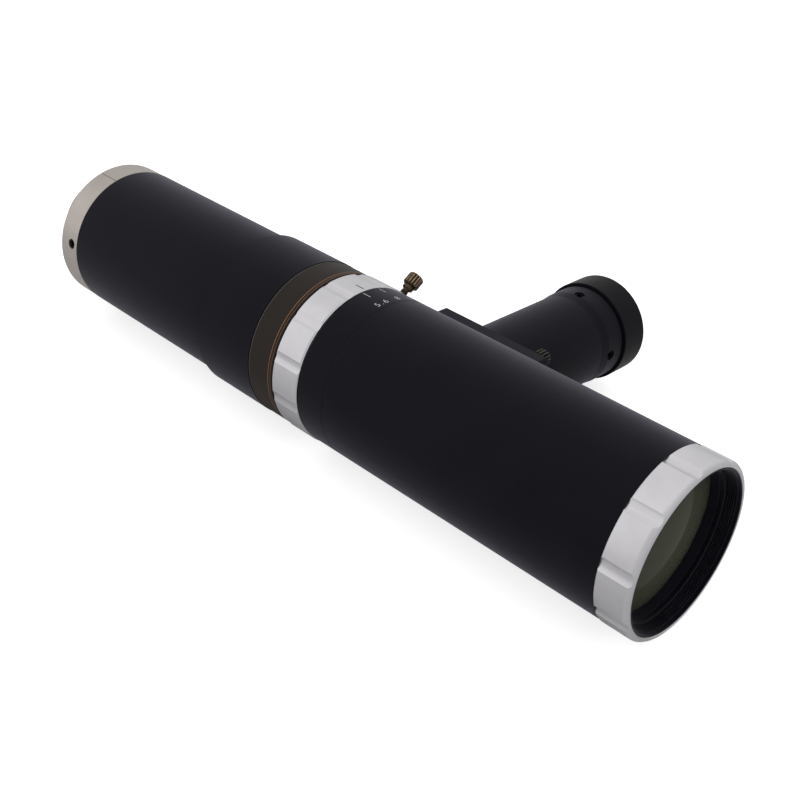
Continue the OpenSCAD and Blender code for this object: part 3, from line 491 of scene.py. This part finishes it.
def helical_ridge(name, start, turns, pitch, foot_r, crest_r, steps, upright=False):
    """Sweeps a thread's ridge, in millimetres: its outline is drawn, screwed and capped."""
    foot, crest = 0.46 * pitch, 0.07 * pitch
    outline = [
        (start - foot, foot_r), (start - crest, crest_r), (start + crest, crest_r), (start + foot, foot_r),
    ]
    if upright:
        points = [(r * MM, 0, along * MM) for along, r in outline]
    else:
        points = [(along * MM, 0, r * MM) for along, r in outline]
    piece = draw_outline(name, points)
    bpy.ops.object.mode_set(mode="OBJECT")
    sweep = piece.modifiers.new("thread", "SCREW")
    sweep.axis = "Z" if upright else "X"
    sweep.angle = FULL_TURN
    sweep.screw_offset = pitch * MM
    sweep.iterations = turns
    sweep.steps = sweep.render_steps = steps
    bpy.ops.object.modifier_apply(modifier=sweep.name)
    bpy.ops.object.mode_set(mode="EDIT")
    bpy.ops.mesh.select_all(action="SELECT")
    bpy.ops.mesh.remove_doubles(threshold=MM / 1000)
    bpy.ops.mesh.fill_holes(sides=0)
    tidy_shell(piece, 50)
    return piece


def join_pieces(first, *others):
    """Joins pieces into the first one."""
    pick(first, *others)
    bpy.ops.object.join()
    return first


def spread(name, direction):
    """Nearest and farthest reach of a CAD node along a direction, in metres."""
    along = [vertex.co.dot(direction) for vertex in nodes[name].data.vertices]
    return min(along), max(along)


def round_barrel(angle):
    """Direction out of the optical axis, at an angle from +Z towards +Y."""
    return Vector((0, math.sin(angle), math.cos(angle)))


def lay_on_barrel(piece, along, angle, radius):
    """Lays a flat piece, drawn in XY, on the barrel with its top towards the camera end."""
    out = round_barrel(angle)
    reading = Vector((0, out.z, -out.y))
    turn = Matrix((reading, Vector((-1, 0, 0)), out)).transposed()
    piece.matrix_world = Matrix.Translation(Vector((along, 0, 0)) + out * radius) @ turn.to_4x4()
    pick(piece)
    bpy.ops.object.transform_apply(location=True, rotation=True, scale=True)


def wrap_as_paint(piece, node, height):
    """Presses a flat piece onto a CAD node as a thin closed film of paint."""
    pick(piece)
    wrap = piece.modifiers.new("wrap", "SHRINKWRAP")
    wrap.target = nodes[node]
    wrap.wrap_method = "NEAREST_SURFACEPOINT"
    wrap.wrap_mode = "ABOVE_SURFACE"
    wrap.offset = height
    bpy.ops.object.modifier_apply(modifier=wrap.name)
    film = piece.modifiers.new("film", "SOLIDIFY")
    film.thickness = 2 * height
    film.offset = -1
    bpy.ops.object.modifier_apply(modifier=film.name)


def flat_mark(name, length, width):
    """Draws a straight printed line, its length along Y, with cut corners."""
    leave_all()
    bpy.ops.mesh.primitive_plane_add(size=1, location=(0, 0, 0))
    piece = bpy.context.object
    piece.name = piece.data.name = name
    piece.scale = (width, length, 1)
    bpy.ops.object.transform_apply(location=False, rotation=False, scale=True)
    bpy.ops.object.mode_set(mode="EDIT")
    bpy.ops.mesh.select_all(action="SELECT")
    bpy.ops.mesh.subdivide(number_cuts=7)
    bpy.ops.mesh.select_all(action="DESELECT")
    bpy.ops.object.mode_set(mode="OBJECT")
    for vertex in piece.data.vertices:
        vertex.select = abs(vertex.co.x) > 0.49 * width and abs(vertex.co.y) > 0.49 * length
    bpy.ops.object.mode_set(mode="EDIT")
    bpy.ops.mesh.bevel(offset=width * 0.1, segments=2, affect="VERTICES")
    bpy.ops.object.mode_set(mode="OBJECT")
    return piece


def flat_numeral(name, words, height):
    """Draws a number of the scale, centred, at its printed height."""
    leave_all()
    bpy.ops.object.text_add(location=(0, 0, 0))
    piece = bpy.context.object
    piece.data.body = words
    piece.data.align_x = "CENTER"
    piece.data.align_y = "CENTER"
    piece.data.size = height / 0.72
    piece.data.space_character = 1.4
    piece.data.offset = -0.012 * piece.data.size
    bpy.ops.object.convert(target="MESH")
    piece = bpy.context.object
    piece.name = piece.data.name = name
    bpy.ops.object.mode_set(mode="EDIT")
    bpy.ops.mesh.select_all(action="SELECT")
    bpy.ops.mesh.remove_doubles(threshold=MM / 1000)
    bpy.ops.object.mode_set(mode="OBJECT")
    bpy.ops.object.origin_set(type="ORIGIN_GEOMETRY", center="BOUNDS")
    piece.location = (0, 0, 0)
    bpy.ops.object.transform_apply(location=True, rotation=True, scale=True)
    return piece


class LENS_OT_barrels(bpy.types.Operator):
    """Finishes the black barrels and the scale band, and fills the seam between them"""

    bl_idname = "lens.barrels"
    bl_label = "Barrels"

    def execute(self, context):
        black = shared_material("black_anodised_aluminium", black_anodised_aluminium, "X")
        finish(black, "rear_barrel", "middle_barrel", "scale_band", "front_barrel")
        band_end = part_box("scale_band")[1]
        place, radius = band_end.x / MM, band_end.z / MM
        outline = [
            (place - 0.3, radius - 0.3), (place + 0.3, radius - 0.3), (place + 0.3, radius - 0.1),
            (place + 0.12, radius - 0.05), (place - 0.12, radius - 0.05), (place - 0.3, radius - 0.1),
        ]
        seam = turned_piece("barrel_seam_lacquer", outline, 192)
        seam.data.materials.append(black)
        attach(seam, "lens_body")
        return {"FINISHED"}


class LENS_OT_silver_rings(bpy.types.Operator):
    """Finishes the fluted silver rings and the camera ring"""

    bl_idname = "lens.silver_rings"
    bl_label = "Silver Rings"

    def execute(self, context):
        colours = context.scene.lens_colours
        silver = shared_material("clear_anodised_aluminium", satin_silver, list(colours.silver), (0.3, 0.42))
        nickel = shared_material("bead_blasted_nickel", satin_silver, list(colours.nickel), (0.36, 0.46))
        finish(silver, "aperture_ring", "front_ring")
        finish(nickel, "rear_ring")
        return {"FINISHED"}


class LENS_OT_label_ring(bpy.types.Operator):
    """Finishes the label ring, lays its two copper lines and a painted highlight along its rear edge"""

    bl_idname = "lens.label_ring"
    bl_label = "Label Ring"

    def execute(self, context):
        finish(shared_material("brown_anodised_aluminium", brown_anodised_aluminium), "label_ring")
        low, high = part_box("label_ring")
        front, radius = high.x / MM, high.z / MM
        wide = self.line_round(front - 1.9, radius, 0.2)
        fine = self.line_round(front - 0.72, radius, 0.09)
        copper = join_pieces(wide, fine)
        copper.name = copper.data.name = "label_copper_lines"
        colour = list(context.scene.lens_colours.copper)
        copper.data.materials.append(shared_material("copper_lacquer", lacquered_line, colour, 0.6, 0.4))
        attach(copper, "lens_body")
        # A grey ring at the rear edge of the label ring is a painted highlight, where the edge would catch
        # the light
        rim = self.line_round(low.x / MM + 0.42, radius, 0.16)
        rim.name = rim.data.name = "label_painted_edge_highlight"
        rim.data.materials.append(shared_material("bared_edge", lacquered_line, linear("#7d7975"), 0.6, 0.4))
        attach(rim, "lens_body")
        return {"FINISHED"}

    def line_round(self, place, radius, width):
        """A line laid round the ring: a flat body let into the metal, with a slightly domed top."""
        outline = [
            (place - width / 2, radius - 0.1), (place + width / 2, radius - 0.1), (place + width / 2, radius),
            (place + width / 3, radius + 0.015), (place - width / 3, radius + 0.015),
            (place - width / 2, radius),
        ]
        return turned_piece("line_round", outline, 192)


class LENS_OT_camera_nose(bpy.types.Operator):
    """Turns the camera nose with its helical thread and the light-trap grooves in its bore"""

    bl_idname = "lens.camera_nose"
    bl_label = "Camera Nose"

    def execute(self, context):
        sizes = context.scene.lens_sizes
        low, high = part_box("mount_adapter")
        back, front, shank = low.x / MM, high.x / MM, high.z / MM
        crest = sizes.nose_thread_r / MM
        root = crest - sizes.nose_thread_depth / MM
        pitch = sizes.nose_pitch / MM
        # The nose's wall, and the middle of the groove that the set screws hold it by
        bore = shank - 5.45
        groove = front - 6.6
        outline = [
            (back, bore + 0.3), (back, root - 0.2), (back + 0.3, root), (-1.2, root), (-1.2, root - 0.1),
            (0, root - 0.1), (0, shank - 0.3), (0.3, shank), (groove - 2.15, shank),
            (groove - 0.9, shank - 1.25),
            (groove + 0.9, shank - 1.25), (groove + 2.15, shank), (front - 0.3, shank), (front, shank - 0.3),
            (front, bore),
        ]
        place = front - 1
        while place > back + 2:
            outline += [(place, bore), (place - 0.5, bore + 0.3)]
            place -= 1
        outline.append((back + 0.3, bore))
        nose = turned_piece("threaded_camera_nose", outline)
        turns = int((-1.6 - (back + 0.8)) / pitch)
        ridge = helical_ridge("nose_thread", back + 0.8, turns, pitch, root - 0.1, crest, 144)
        nose = join_pieces(nose, ridge)
        nose.data.materials.append(shared_material("black_anodised_aluminium", black_anodised_aluminium, "X"))
        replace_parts(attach(nose, "camera_nose"), "mount_adapter")
        return {"FINISHED"}


class LENS_OT_filter_ring(bpy.types.Operator):
    """Turns the filter ring with its helical thread"""

    bl_idname = "lens.filter_ring"
    bl_label = "Filter Ring"

    def execute(self, context):
        sizes = context.scene.lens_sizes
        low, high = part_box("filter_ring")
        # The face comes 0.5 mm further out than the solid's, almost level with the front ring's
        back, front, outer = low.x / MM, high.x / MM + 0.5, high.z / MM
        crest = outer - 1.05
        root = crest + sizes.filter_thread_depth / MM
        pitch = sizes.filter_pitch / MM
        outline = [
            (back, root), (back, outer), (front, outer), (front, root + 0.25), (front - 0.25, root),
        ]
        ring = turned_piece("threaded_filter_ring", outline)
        turns = int((front - 0.5 - back - pitch) / pitch)
        ridge = helical_ridge("filter_thread", back + 0.5 * pitch, turns, pitch, root + 0.1, crest, 160)
        ring = join_pieces(ring, ridge)
        black = shared_material("black_anodised_aluminium", black_anodised_aluminium, "X")
        ring.data.materials.append(black)
        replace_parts(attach(ring, "lens_body"), "filter_ring")
        finish(black, "front_lens_retainer")
        return {"FINISHED"}


class LENS_OT_thumbscrews(bpy.types.Operator):
    """Models one knurled thumbscrew, and places it and its copy"""

    bl_idname = "lens.thumbscrews"
    bl_label = "Thumbscrews"

    def knurled_head(self, sizes, start, length, radius):
        """Straight ridges: a circle's points are drawn in between them, and the outline is raised."""
        leave_all()
        per_ridge = 6
        bpy.ops.mesh.primitive_circle_add(
            vertices=sizes.screw_ridges * per_ridge, radius=radius, fill_type="NGON", location=(0, 0, start)
        )
        head = bpy.context.object
        head.name = head.data.name = "knurled_head"
        bpy.ops.object.transform_apply(location=True, rotation=False, scale=False)
        for deep, share in (((0,), 1.0), ((1, per_ridge - 1), 0.62)):
            bpy.ops.object.mode_set(mode="EDIT")
            bpy.ops.mesh.select_all(action="DESELECT")
            bpy.ops.object.mode_set(mode="OBJECT")
            for vertex in head.data.vertices:
                vertex.select = vertex.index % per_ridge in deep
            bpy.ops.object.mode_set(mode="EDIT")
            shrink = 1 - share * sizes.screw_ridge_depth / radius
            bpy.ops.transform.resize(value=(shrink, shrink, 1), center_override=(0, 0, start))
        bpy.ops.mesh.select_all(action="SELECT")
        bpy.ops.mesh.extrude_region_move(TRANSFORM_OT_translate={"value": (0, 0, length)})
        bpy.ops.mesh.select_all(action="SELECT")
        bpy.ops.mesh.normals_make_consistent(inside=False)
        bpy.ops.object.mode_set(mode="OBJECT")
        return head

    def execute(self, context):
        sizes = context.scene.lens_sizes
        out = round_barrel(SCREW_ANGLE)
        foot, top = (value / MM for value in spread("aperture_lock_screw", out))
        low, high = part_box("port_lock_screw")
        middle = (low + high) / 2
        head_length = 4.8
        head_from = top - head_length
        head_r = (high.x - low.x) / 2 / MM
        # Radii of the thread's crest, of the neck, of the collar under the head and of the thread's root
        shaft_r, neck_r, collar_r = 1.45, 1.75, 2.1
        root_r = shaft_r - 0.24
        stem_outline = [
            (foot, 0.0), (foot, root_r - 0.2), (foot + 0.2, root_r), (head_from - 2.1, root_r),
            (head_from - 1.62, neck_r), (head_from - 1.5, collar_r - 0.12), (head_from - 1.38, collar_r),
            (head_from - 0.3, collar_r), (head_from - 0.18, collar_r - 0.12), (head_from - 0.12, neck_r),
            (head_from + 0.5, neck_r), (head_from + 0.5, 0.0),
        ]
        stem = turned_piece("screw_stem", stem_outline, 48, upright=True)
        pitch = sizes.screw_pitch / MM
        turns = int((head_from - 2.2 - foot - 0.4) / pitch)
        thread = helical_ridge(
            "screw_thread", foot + 0.4, turns, pitch, root_r - 0.06, shaft_r, 32, upright=True
        )
        head = self.knurled_head(sizes, head_from * MM, head_length * MM, head_r * MM)
        turned_limit = turned_piece(
            "head_limit",
            [
                (head_from, 0.0), (head_from, head_r - 0.5), (head_from + 0.5, head_r + 0.01),
                (top - 0.62, head_r + 0.01), (top - 0.12, head_r - 0.42), (top, head_r - 0.75), (top, 1.5),
                (top - 0.15, 1.3), (top - 0.15, 0.0),
            ],
            96, upright=True
        )
        pick(head)
        cut = head.modifiers.new("chamfers", "BOOLEAN")
        cut.operation = "INTERSECT"
        cut.solver = "EXACT"
        cut.object = turned_limit
        bpy.ops.object.modifier_apply(modifier=cut.name)
        soft = head.modifiers.new("worn_edges", "BEVEL")
        soft.width = 0.035 * MM
        soft.segments = 1
        soft.limit_method = "ANGLE"
        soft.angle_limit = math.radians(40)
        bpy.ops.object.modifier_apply(modifier=soft.name)
        bpy.data.objects.remove(turned_limit)
        tidy_shell(head, 30)
        colours = context.scene.lens_colours
        bronze = shared_material("plated_bronze", plated_bronze, list(colours.bronze))
        # A paler copy of the bronze for the ridges' crests: painted highlight
        crest_highlight = shared_material("worn_bronze", plated_bronze, list(colours.worn_bronze))
        for piece in (stem, thread, head):
            piece.data.materials.append(bronze)
        head.data.materials.append(crest_highlight)
        # Crest faces that face straight out take the painted highlight
        for face in head.data.polygons:
            side = Vector((face.center.x, face.center.y, 0))
            if side.length > (head_r - 0.12) * MM and face.normal.dot(side.normalized()) > 0.9:
                face.material_index = 1
        screw = join_pieces(head, stem, thread)
        second = screw.copy()
        second.data = screw.data.copy()
        context.scene.collection.objects.link(second)
        second.name = second.data.name = "port_thumbscrew"
        # The second screw is the same bronze drawn darker, as painted shade, since it sits in shadow; its
        # crests carry a dimmer painted highlight
        second.data.materials[0] = shared_material("black_plated_brass", plated_bronze, linear("#24211f"))
        second.data.materials[1] = shared_material("worn_black_plating", plated_bronze, linear("#57514b"))
        screw.name = screw.data.name = "aperture_thumbscrew"
        pad_low, pad_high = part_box("aperture_lock_pad")
        places = (
            (screw, "aperture_lock_screw", (pad_low.x + pad_high.x) / 2, 0.0, 0.0, SCREW_ANGLE),
            (second, "port_lock_screw", middle.x, high.y - top * MM, middle.z, math.radians(90)),
        )
        for piece, node, x, y, z, angle in places:
            pick(piece)
            piece.matrix_world = Matrix.Translation((x, y, z)) @ Matrix.Rotation(-angle, 4, "X")
            bpy.ops.object.transform_apply(location=True, rotation=True, scale=True)
            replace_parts(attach(piece, node), node)
        nylon = shared_material(
            "natural_nylon", moulded_plastic, linear("#cfc9b6"), linear("#e0dbc9"), 0.3, (0.4, 0.5)
        )
        finish(nylon, "aperture_lock_pad", "port_lock_pad")
        return {"FINISHED"}


class LENS_OT_small_screws(bpy.types.Operator):
    """Finishes the set screws and the flange screws"""

    bl_idname = "lens.small_screws"
    bl_label = "Small Screws"

    def execute(self, context):
        steel = shared_material("blackened_steel", machined_metal, linear("#1d1b1a"), 0.8, (0.4, 0.55))
        finish(steel, "mount_set_screws", "tube_set_screws", "flange_screws", "beamsplitter_screws")
        return {"FINISHED"}


class LENS_OT_light_port(bpy.types.Operator):
    """Finishes the flange, the side tube and its end cap"""

    bl_idname = "lens.light_port"
    bl_label = "Light Port"

    def execute(self, context):
        tube = shared_material("black_anodised_tube", black_anodised_aluminium, "Y")
        finish(tube, "illumination_tube", "port_flange")
        cap = shared_material(
            "black_moulded_plastic", moulded_plastic, linear("#111115"), linear("#15151a"), 0.28, (0.44, 0.54)
        )
        finish(cap, "end_cap")
        return {"FINISHED"}


class LENS_OT_glass(bpy.types.Operator):
    """Finishes the lenses, the beamsplitter and the diffuser"""

    bl_idname = "lens.glass"
    bl_label = "Glass"

    def execute(self, context):
        tint = list(context.scene.lens_colours.coating)
        clear = linear("#eef4ee")
        # Only 40 percent of the front glass lets light through; the rest shows the greenish grey base colour
        # as a diffuse surface, a painted reflection of the room in the dome
        painted_reflection_tone = linear("#606455")
        # The anti-reflection coating is drawn as a lower refractive index
        front = shared_material("green_coated_glass", optical_glass, painted_reflection_tone, tint, 0.4, 1.08, (0.01, 0.03))
        inner = shared_material(
            "coated_inner_glass", optical_glass, clear, linear("#cfe3d2"), 1.0, 1.45, (0.0, 0.03)
        )
        frosted = shared_material(
            "ground_glass", optical_glass, clear, linear("#ffffff"), 0.9, 1.52, (0.5, 0.6)
        )
        dome = self.domed_glass()
        dome.data.materials.append(front)
        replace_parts(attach(dome, "lens_body"), "front_lens")
        finish(
            inner, "front_inner_lens", "relay_lens", "rear_lens", "rear_inner_lens", "field_lens",
            "condenser_lens",
            "beamsplitter_plate"
        )
        finish(frosted, "light_diffuser")
        return {"FINISHED"}

    def domed_glass(self):
        """The front glass is a meniscus: its back is hollowed to follow the dome, inside a flat seat."""
        low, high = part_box("front_lens")
        back, apex, edge = low.x / MM, high.x / MM, high.z / MM
        # Height of the dome over its edge, and the radius of the edge
        rise, clear, steps = 4.0, 25.35, 24
        ball = (clear * clear + rise * rise) / (2 * rise)
        reach = [clear * i / steps for i in range(steps + 1)]
        dome = [(apex - ball + math.sqrt(ball * ball - r * r), r) for r in reach]
        hollow = [(x - (apex - rise - back) + 1.0, r) for x, r in dome[:-1]]
        outline = dome + [
            (apex - rise, edge - 0.2), (apex - rise - 0.2, edge), (back + 0.2, edge), (back, edge - 0.2),
        ]
        outline += [(back, hollow[-1][1])] + hollow[::-1]
        return turned_piece("domed_front_glass", outline)


class LENS_OT_iris(bpy.types.Operator):
    """Finishes the iris: its blades, cam ring and drive pin, and the beamsplitter's clips"""

    bl_idname = "lens.iris"
    bl_label = "Iris"

    def execute(self, context):
        blades = shared_material(
            "blackened_spring_steel", machined_metal, linear("#3b3b3d"), 4.0, (0.32, 0.45)
        )
        brass = shared_material("turned_brass", machined_metal, linear("#a58a55"), 6.0, (0.25, 0.4))
        ground = shared_material("ground_steel", machined_metal, linear("#b4b4b2"), 2.0, (0.2, 0.32))
        finish(blades, *[f"iris_blade_{i}" for i in range(1, 7)])
        finish(brass, "iris_drive_ring")
        finish(ground, "aperture_drive_pin", "beamsplitter_clips")
        return {"FINISHED"}


class LENS_OT_inner_fittings(bpy.types.Operator):
    """Finishes the lens cells, spacers and retaining rings inside the barrels"""

    bl_idname = "lens.inner_fittings"
    bl_label = "Inner Fittings"

    def execute(self, context):
        flat_black = shared_material(
            "matt_black_lacquer", moulded_plastic, linear("#121213"), linear("#1a1a1b"), 0.15, (0.62, 0.75)
        )
        finish(
            flat_black, "iris_housing", "iris_retaining_ring", "field_lens_cell", "field_lens_retainer",
            "rear_lens_cell", "rear_lens_spacer", "rear_lens_retainer", "relay_lens_cell",
            "relay_lens_retainer",
            "front_lens_spacer", "beamsplitter_holder", "condenser_spacer", "diffuser_retainer"
        )
        return {"FINISHED"}


class LENS_OT_scale_print(bpy.types.Operator):
    """Prints the aperture scale and the index line"""

    bl_idname = "lens.scale_print"
    bl_label = "Scale Print"

    def execute(self, context):
        sizes = context.scene.lens_sizes
        low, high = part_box("scale_band")
        back, radius = low.x, high.z
        marks = []
        stops = ((-3.4, "5.6"), (11.3, "8"), (26.0, "11"), (40.7, "16"), (55.4, "22"))
        for angle, words in stops:
            tag = words.replace(".", "_")
            tick = flat_mark(f"tick_{tag}", 3.6 * MM, sizes.tick_width)
            lay_on_barrel(tick, back + 2.6 * MM, math.radians(angle), radius + 0.05 * MM)
            wrap_as_paint(tick, "scale_band", sizes.paint_height)
            number = flat_numeral(f"number_{tag}", words, sizes.numeral_height)
            lay_on_barrel(number, back + 9.8 * MM, math.radians(angle), radius + 0.05 * MM)
            wrap_as_paint(number, "scale_band", sizes.paint_height)
            marks += [tick, number]
        scale = join_pieces(*marks)
        scale.name = scale.data.name = "aperture_scale_print"
        white = shared_material("white_print", lacquered_line, linear("#e9e9e6"), 0.0, 0.5)
        scale.data.materials.append(white)
        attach(scale, "lens_body")
        ring_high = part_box("aperture_ring")[1]
        index = flat_mark("aperture_index_line", 4.1 * MM, 0.42 * MM)
        lay_on_barrel(index, ring_high.x - 2.45 * MM, math.radians(0.2), ring_high.z + 0.05 * MM)
        wrap_as_paint(index, "aperture_ring", sizes.paint_height)
        black = shared_material("black_index_paint", lacquered_line, linear("#17171a"), 0.0, 0.45)
        index.data.materials.append(black)
        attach(index, "aperture_ring")
        return {"FINISHED"}


class LENS_OT_stage(bpy.types.Operator):
    """Sets the camera, the paper floor, the lamps and the room"""

    bl_idname = "lens.stage"
    bl_label = "Stage"

    def place_camera(self, context, stage):
        """The camera looks at a point on the optical axis, from the photograph's side."""
        back = Vector((
            math.sin(stage.azimuth) * math.cos(stage.elevation),
            -math.cos(stage.azimuth) * math.cos(stage.elevation),
            math.sin(stage.elevation),
        ))
        level = Vector((0, 0, 1)).cross(back).normalized()
        upright = back.cross(level)
        right = level * math.cos(stage.roll) + upright * math.sin(stage.roll)
        up = upright * math.cos(stage.roll) - level * math.sin(stage.roll)
        place = Vector((stage.aim, 0, 0)) + back * stage.distance + right * stage.aside + up * stage.above
        data = bpy.data.cameras.new("camera")
        data.sensor_width = 36
        data.lens = stage.focal_mm
        data.clip_start = 0.01
        data.clip_end = 50
        camera = bpy.data.objects.new("camera", data)
        context.scene.collection.objects.link(camera)
        camera.matrix_world = Matrix.Translation(place) @ Matrix((right, up, back)).transposed().to_4x4()
        context.scene.camera = camera

    def lay_floor(self, context, stage):
        """Tilts the floor from the barrel towards the end cap, which still clears it when pulled."""
        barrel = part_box("aperture_ring")[1].z
        cap_low, cap_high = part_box("end_cap")
        cap_round, cap_travel = 1.3 * MM, 60 * MM
        reach, drop = cap_high.y + cap_travel - cap_round, -cap_low.z - cap_round
        tilt = math.asin((barrel - cap_round) / math.hypot(reach, drop)) - math.atan2(drop, reach)
        down = Vector((0, math.sin(tilt), -math.cos(tilt)))
        leave_all()
        bpy.ops.mesh.primitive_plane_add(size=6, location=Vector((0.14, 0, 0)) + down * (barrel + 0.02 * MM))
        floor = context.object
        floor.name = floor.data.name = "paper_floor"
        floor.rotation_euler = (tilt, 0, 0)
        material, tree, shader, place = new_material("white_paper")
        fibre = add_node(
            tree, "ShaderNodeTexNoise", {"Vector": place, "Scale": 1 / (1.5 * MM), "Detail": 3.0}
        )
        relief = add_node(
            tree, "ShaderNodeBump", {"Height": fibre.outputs["Fac"], "Distance": 0.01 * MM, "Strength": 1.0}
        )
        tree.links.new(relief.outputs["Normal"], shader.inputs["Normal"])
        shader.inputs["Base Color"].default_value = opaque(stage.floor)
        shader.inputs["Roughness"].default_value = 0.9
        shader.inputs["Specular IOR Level"].default_value = 0.1
        path = add_node(tree, "ShaderNodeLightPath")
        glow = add_node(tree, "ShaderNodeEmission", {"Color": (1, 1, 1, 1), "Strength": FLOOR_GLOW})
        lit = add_node(tree, "ShaderNodeAddShader", {0: shader.outputs["BSDF"], 1: glow.outputs["Emission"]})
        seen = add_node(
            tree, "ShaderNodeMixShader",
            {"Fac": path.outputs["Is Camera Ray"], 1: shader.outputs["BSDF"], 2: lit.outputs["Shader"]}
        )
        tree.links.new(seen.outputs["Shader"], tree.nodes["Material Output"].inputs["Surface"])
        floor.data.materials.append(material)

    def hang_lamp(self, context, name, place, size, power):
        """A flat soft lamp that faces the lens."""
        data = bpy.data.lights.new(name, "AREA")
        data.shape = "RECTANGLE"
        data.size, data.size_y = size
        data.energy = power
        lamp = bpy.data.objects.new(name, data)
        context.scene.collection.objects.link(lamp)
        aim = Vector((0.15, 0.0, 0.0))
        lamp.location = place
        lamp.rotation_euler = (Vector(place) - aim).to_track_quat("Z", "Y").to_euler()

    def light_room(self, context, stage):
        """White behind the lens, softer white in what metal and glass reflect, and an even light."""
        world = bpy.data.worlds.new("studio")
        world.use_nodes = True
        tree = world.node_tree
        path = add_node(tree, "ShaderNodeLightPath")
        seen = add_node(
            tree, "ShaderNodeMath",
            {0: path.outputs["Is Camera Ray"], 1: path.outputs["Is Transmission Ray"]},
            operation="MAXIMUM"
        )
        white = add_node(tree, "ShaderNodeBackground", {"Color": (1, 1, 1, 1), "Strength": 1.0})
        even = add_node(tree, "ShaderNodeBackground", {"Color": (1, 1, 1, 1), "Strength": stage.room_light})
        mirrored = add_node(
            tree, "ShaderNodeBackground", {"Color": (1, 1, 1, 1), "Strength": stage.mirrored_light}
        )
        glossy = add_node(
            tree, "ShaderNodeMixShader",
            {"Fac": path.outputs["Is Glossy Ray"], 1: even.outputs["Background"],
             2: mirrored.outputs["Background"]}
        )
        both = add_node(
            tree, "ShaderNodeMixShader",
            {"Fac": seen.outputs["Value"], 1: glossy.outputs["Shader"], 2: white.outputs["Background"]}
        )
        tree.links.new(both.outputs["Shader"], tree.nodes["World Output"].inputs["Surface"])
        context.scene.world = world

    def execute(self, context):
        stage = context.scene.lens_stage
        self.place_camera(context, stage)
        self.lay_floor(context, stage)
        self.hang_lamp(context, "key_lamp", (0.1, 0.15, 1.0), (1.6, 1.6), stage.key_power)
        self.hang_lamp(context, "back_lamp", (-0.1, 1.0, 0.6), (1.2, 0.7), stage.back_power)
        self.hang_lamp(context, "side_lamp", (-0.5, -0.7, 0.5), (1.3, 1.3), stage.side_power)
        self.light_room(context, stage)
        context.scene.view_settings.view_transform = "Standard"
        return {"FINISHED"}


class LENS_PT_panel(bpy.types.Panel):
    """Lists the steps that dress the lens"""

    bl_idname = "LENS_PT_panel"
    bl_label = "Machine Vision Lens"
    bl_space_type = "VIEW_3D"
    bl_region_type = "UI"
    bl_category = "Lens"

    def draw(self, context):
        for step in STEPS:
            self.layout.operator(step.bl_idname)
        for group in (context.scene.lens_sizes, context.scene.lens_colours, context.scene.lens_stage):
            box = self.layout.box()
            for name in group.bl_rna.properties.keys():
                if name not in ("rna_type", "name"):
                    box.prop(group, name)


STEPS = (
    LENS_OT_stage,
    LENS_OT_barrels,
    LENS_OT_silver_rings,
    LENS_OT_label_ring,
    LENS_OT_camera_nose,
    LENS_OT_filter_ring,
    LENS_OT_thumbscrews,
    LENS_OT_small_screws,
    LENS_OT_light_port,
    LENS_OT_glass,
    LENS_OT_iris,
    LENS_OT_inner_fittings,
    LENS_OT_scale_print,
)
GROUPS = (("lens_sizes", LensSizes), ("lens_colours", LensColours), ("lens_stage", StageSettings))


def register():
    for name, group in GROUPS:
        bpy.utils.register_class(group)
        setattr(bpy.types.Scene, name, PointerProperty(type=group))
    for step in STEPS:
        bpy.utils.register_class(step)
    bpy.utils.register_class(LENS_PT_panel)


def unregister():
    bpy.utils.unregister_class(LENS_PT_panel)
    for step in reversed(STEPS):
        bpy.utils.unregister_class(step)
    for name, group in reversed(GROUPS):
        delattr(bpy.types.Scene, name)
        bpy.utils.unregister_class(group)


def main():
    register()
    for step in STEPS:
        group, action = step.bl_idname.split(".")
        getattr(getattr(bpy.ops, group), action)()


if __name__ == "__main__":
    main()
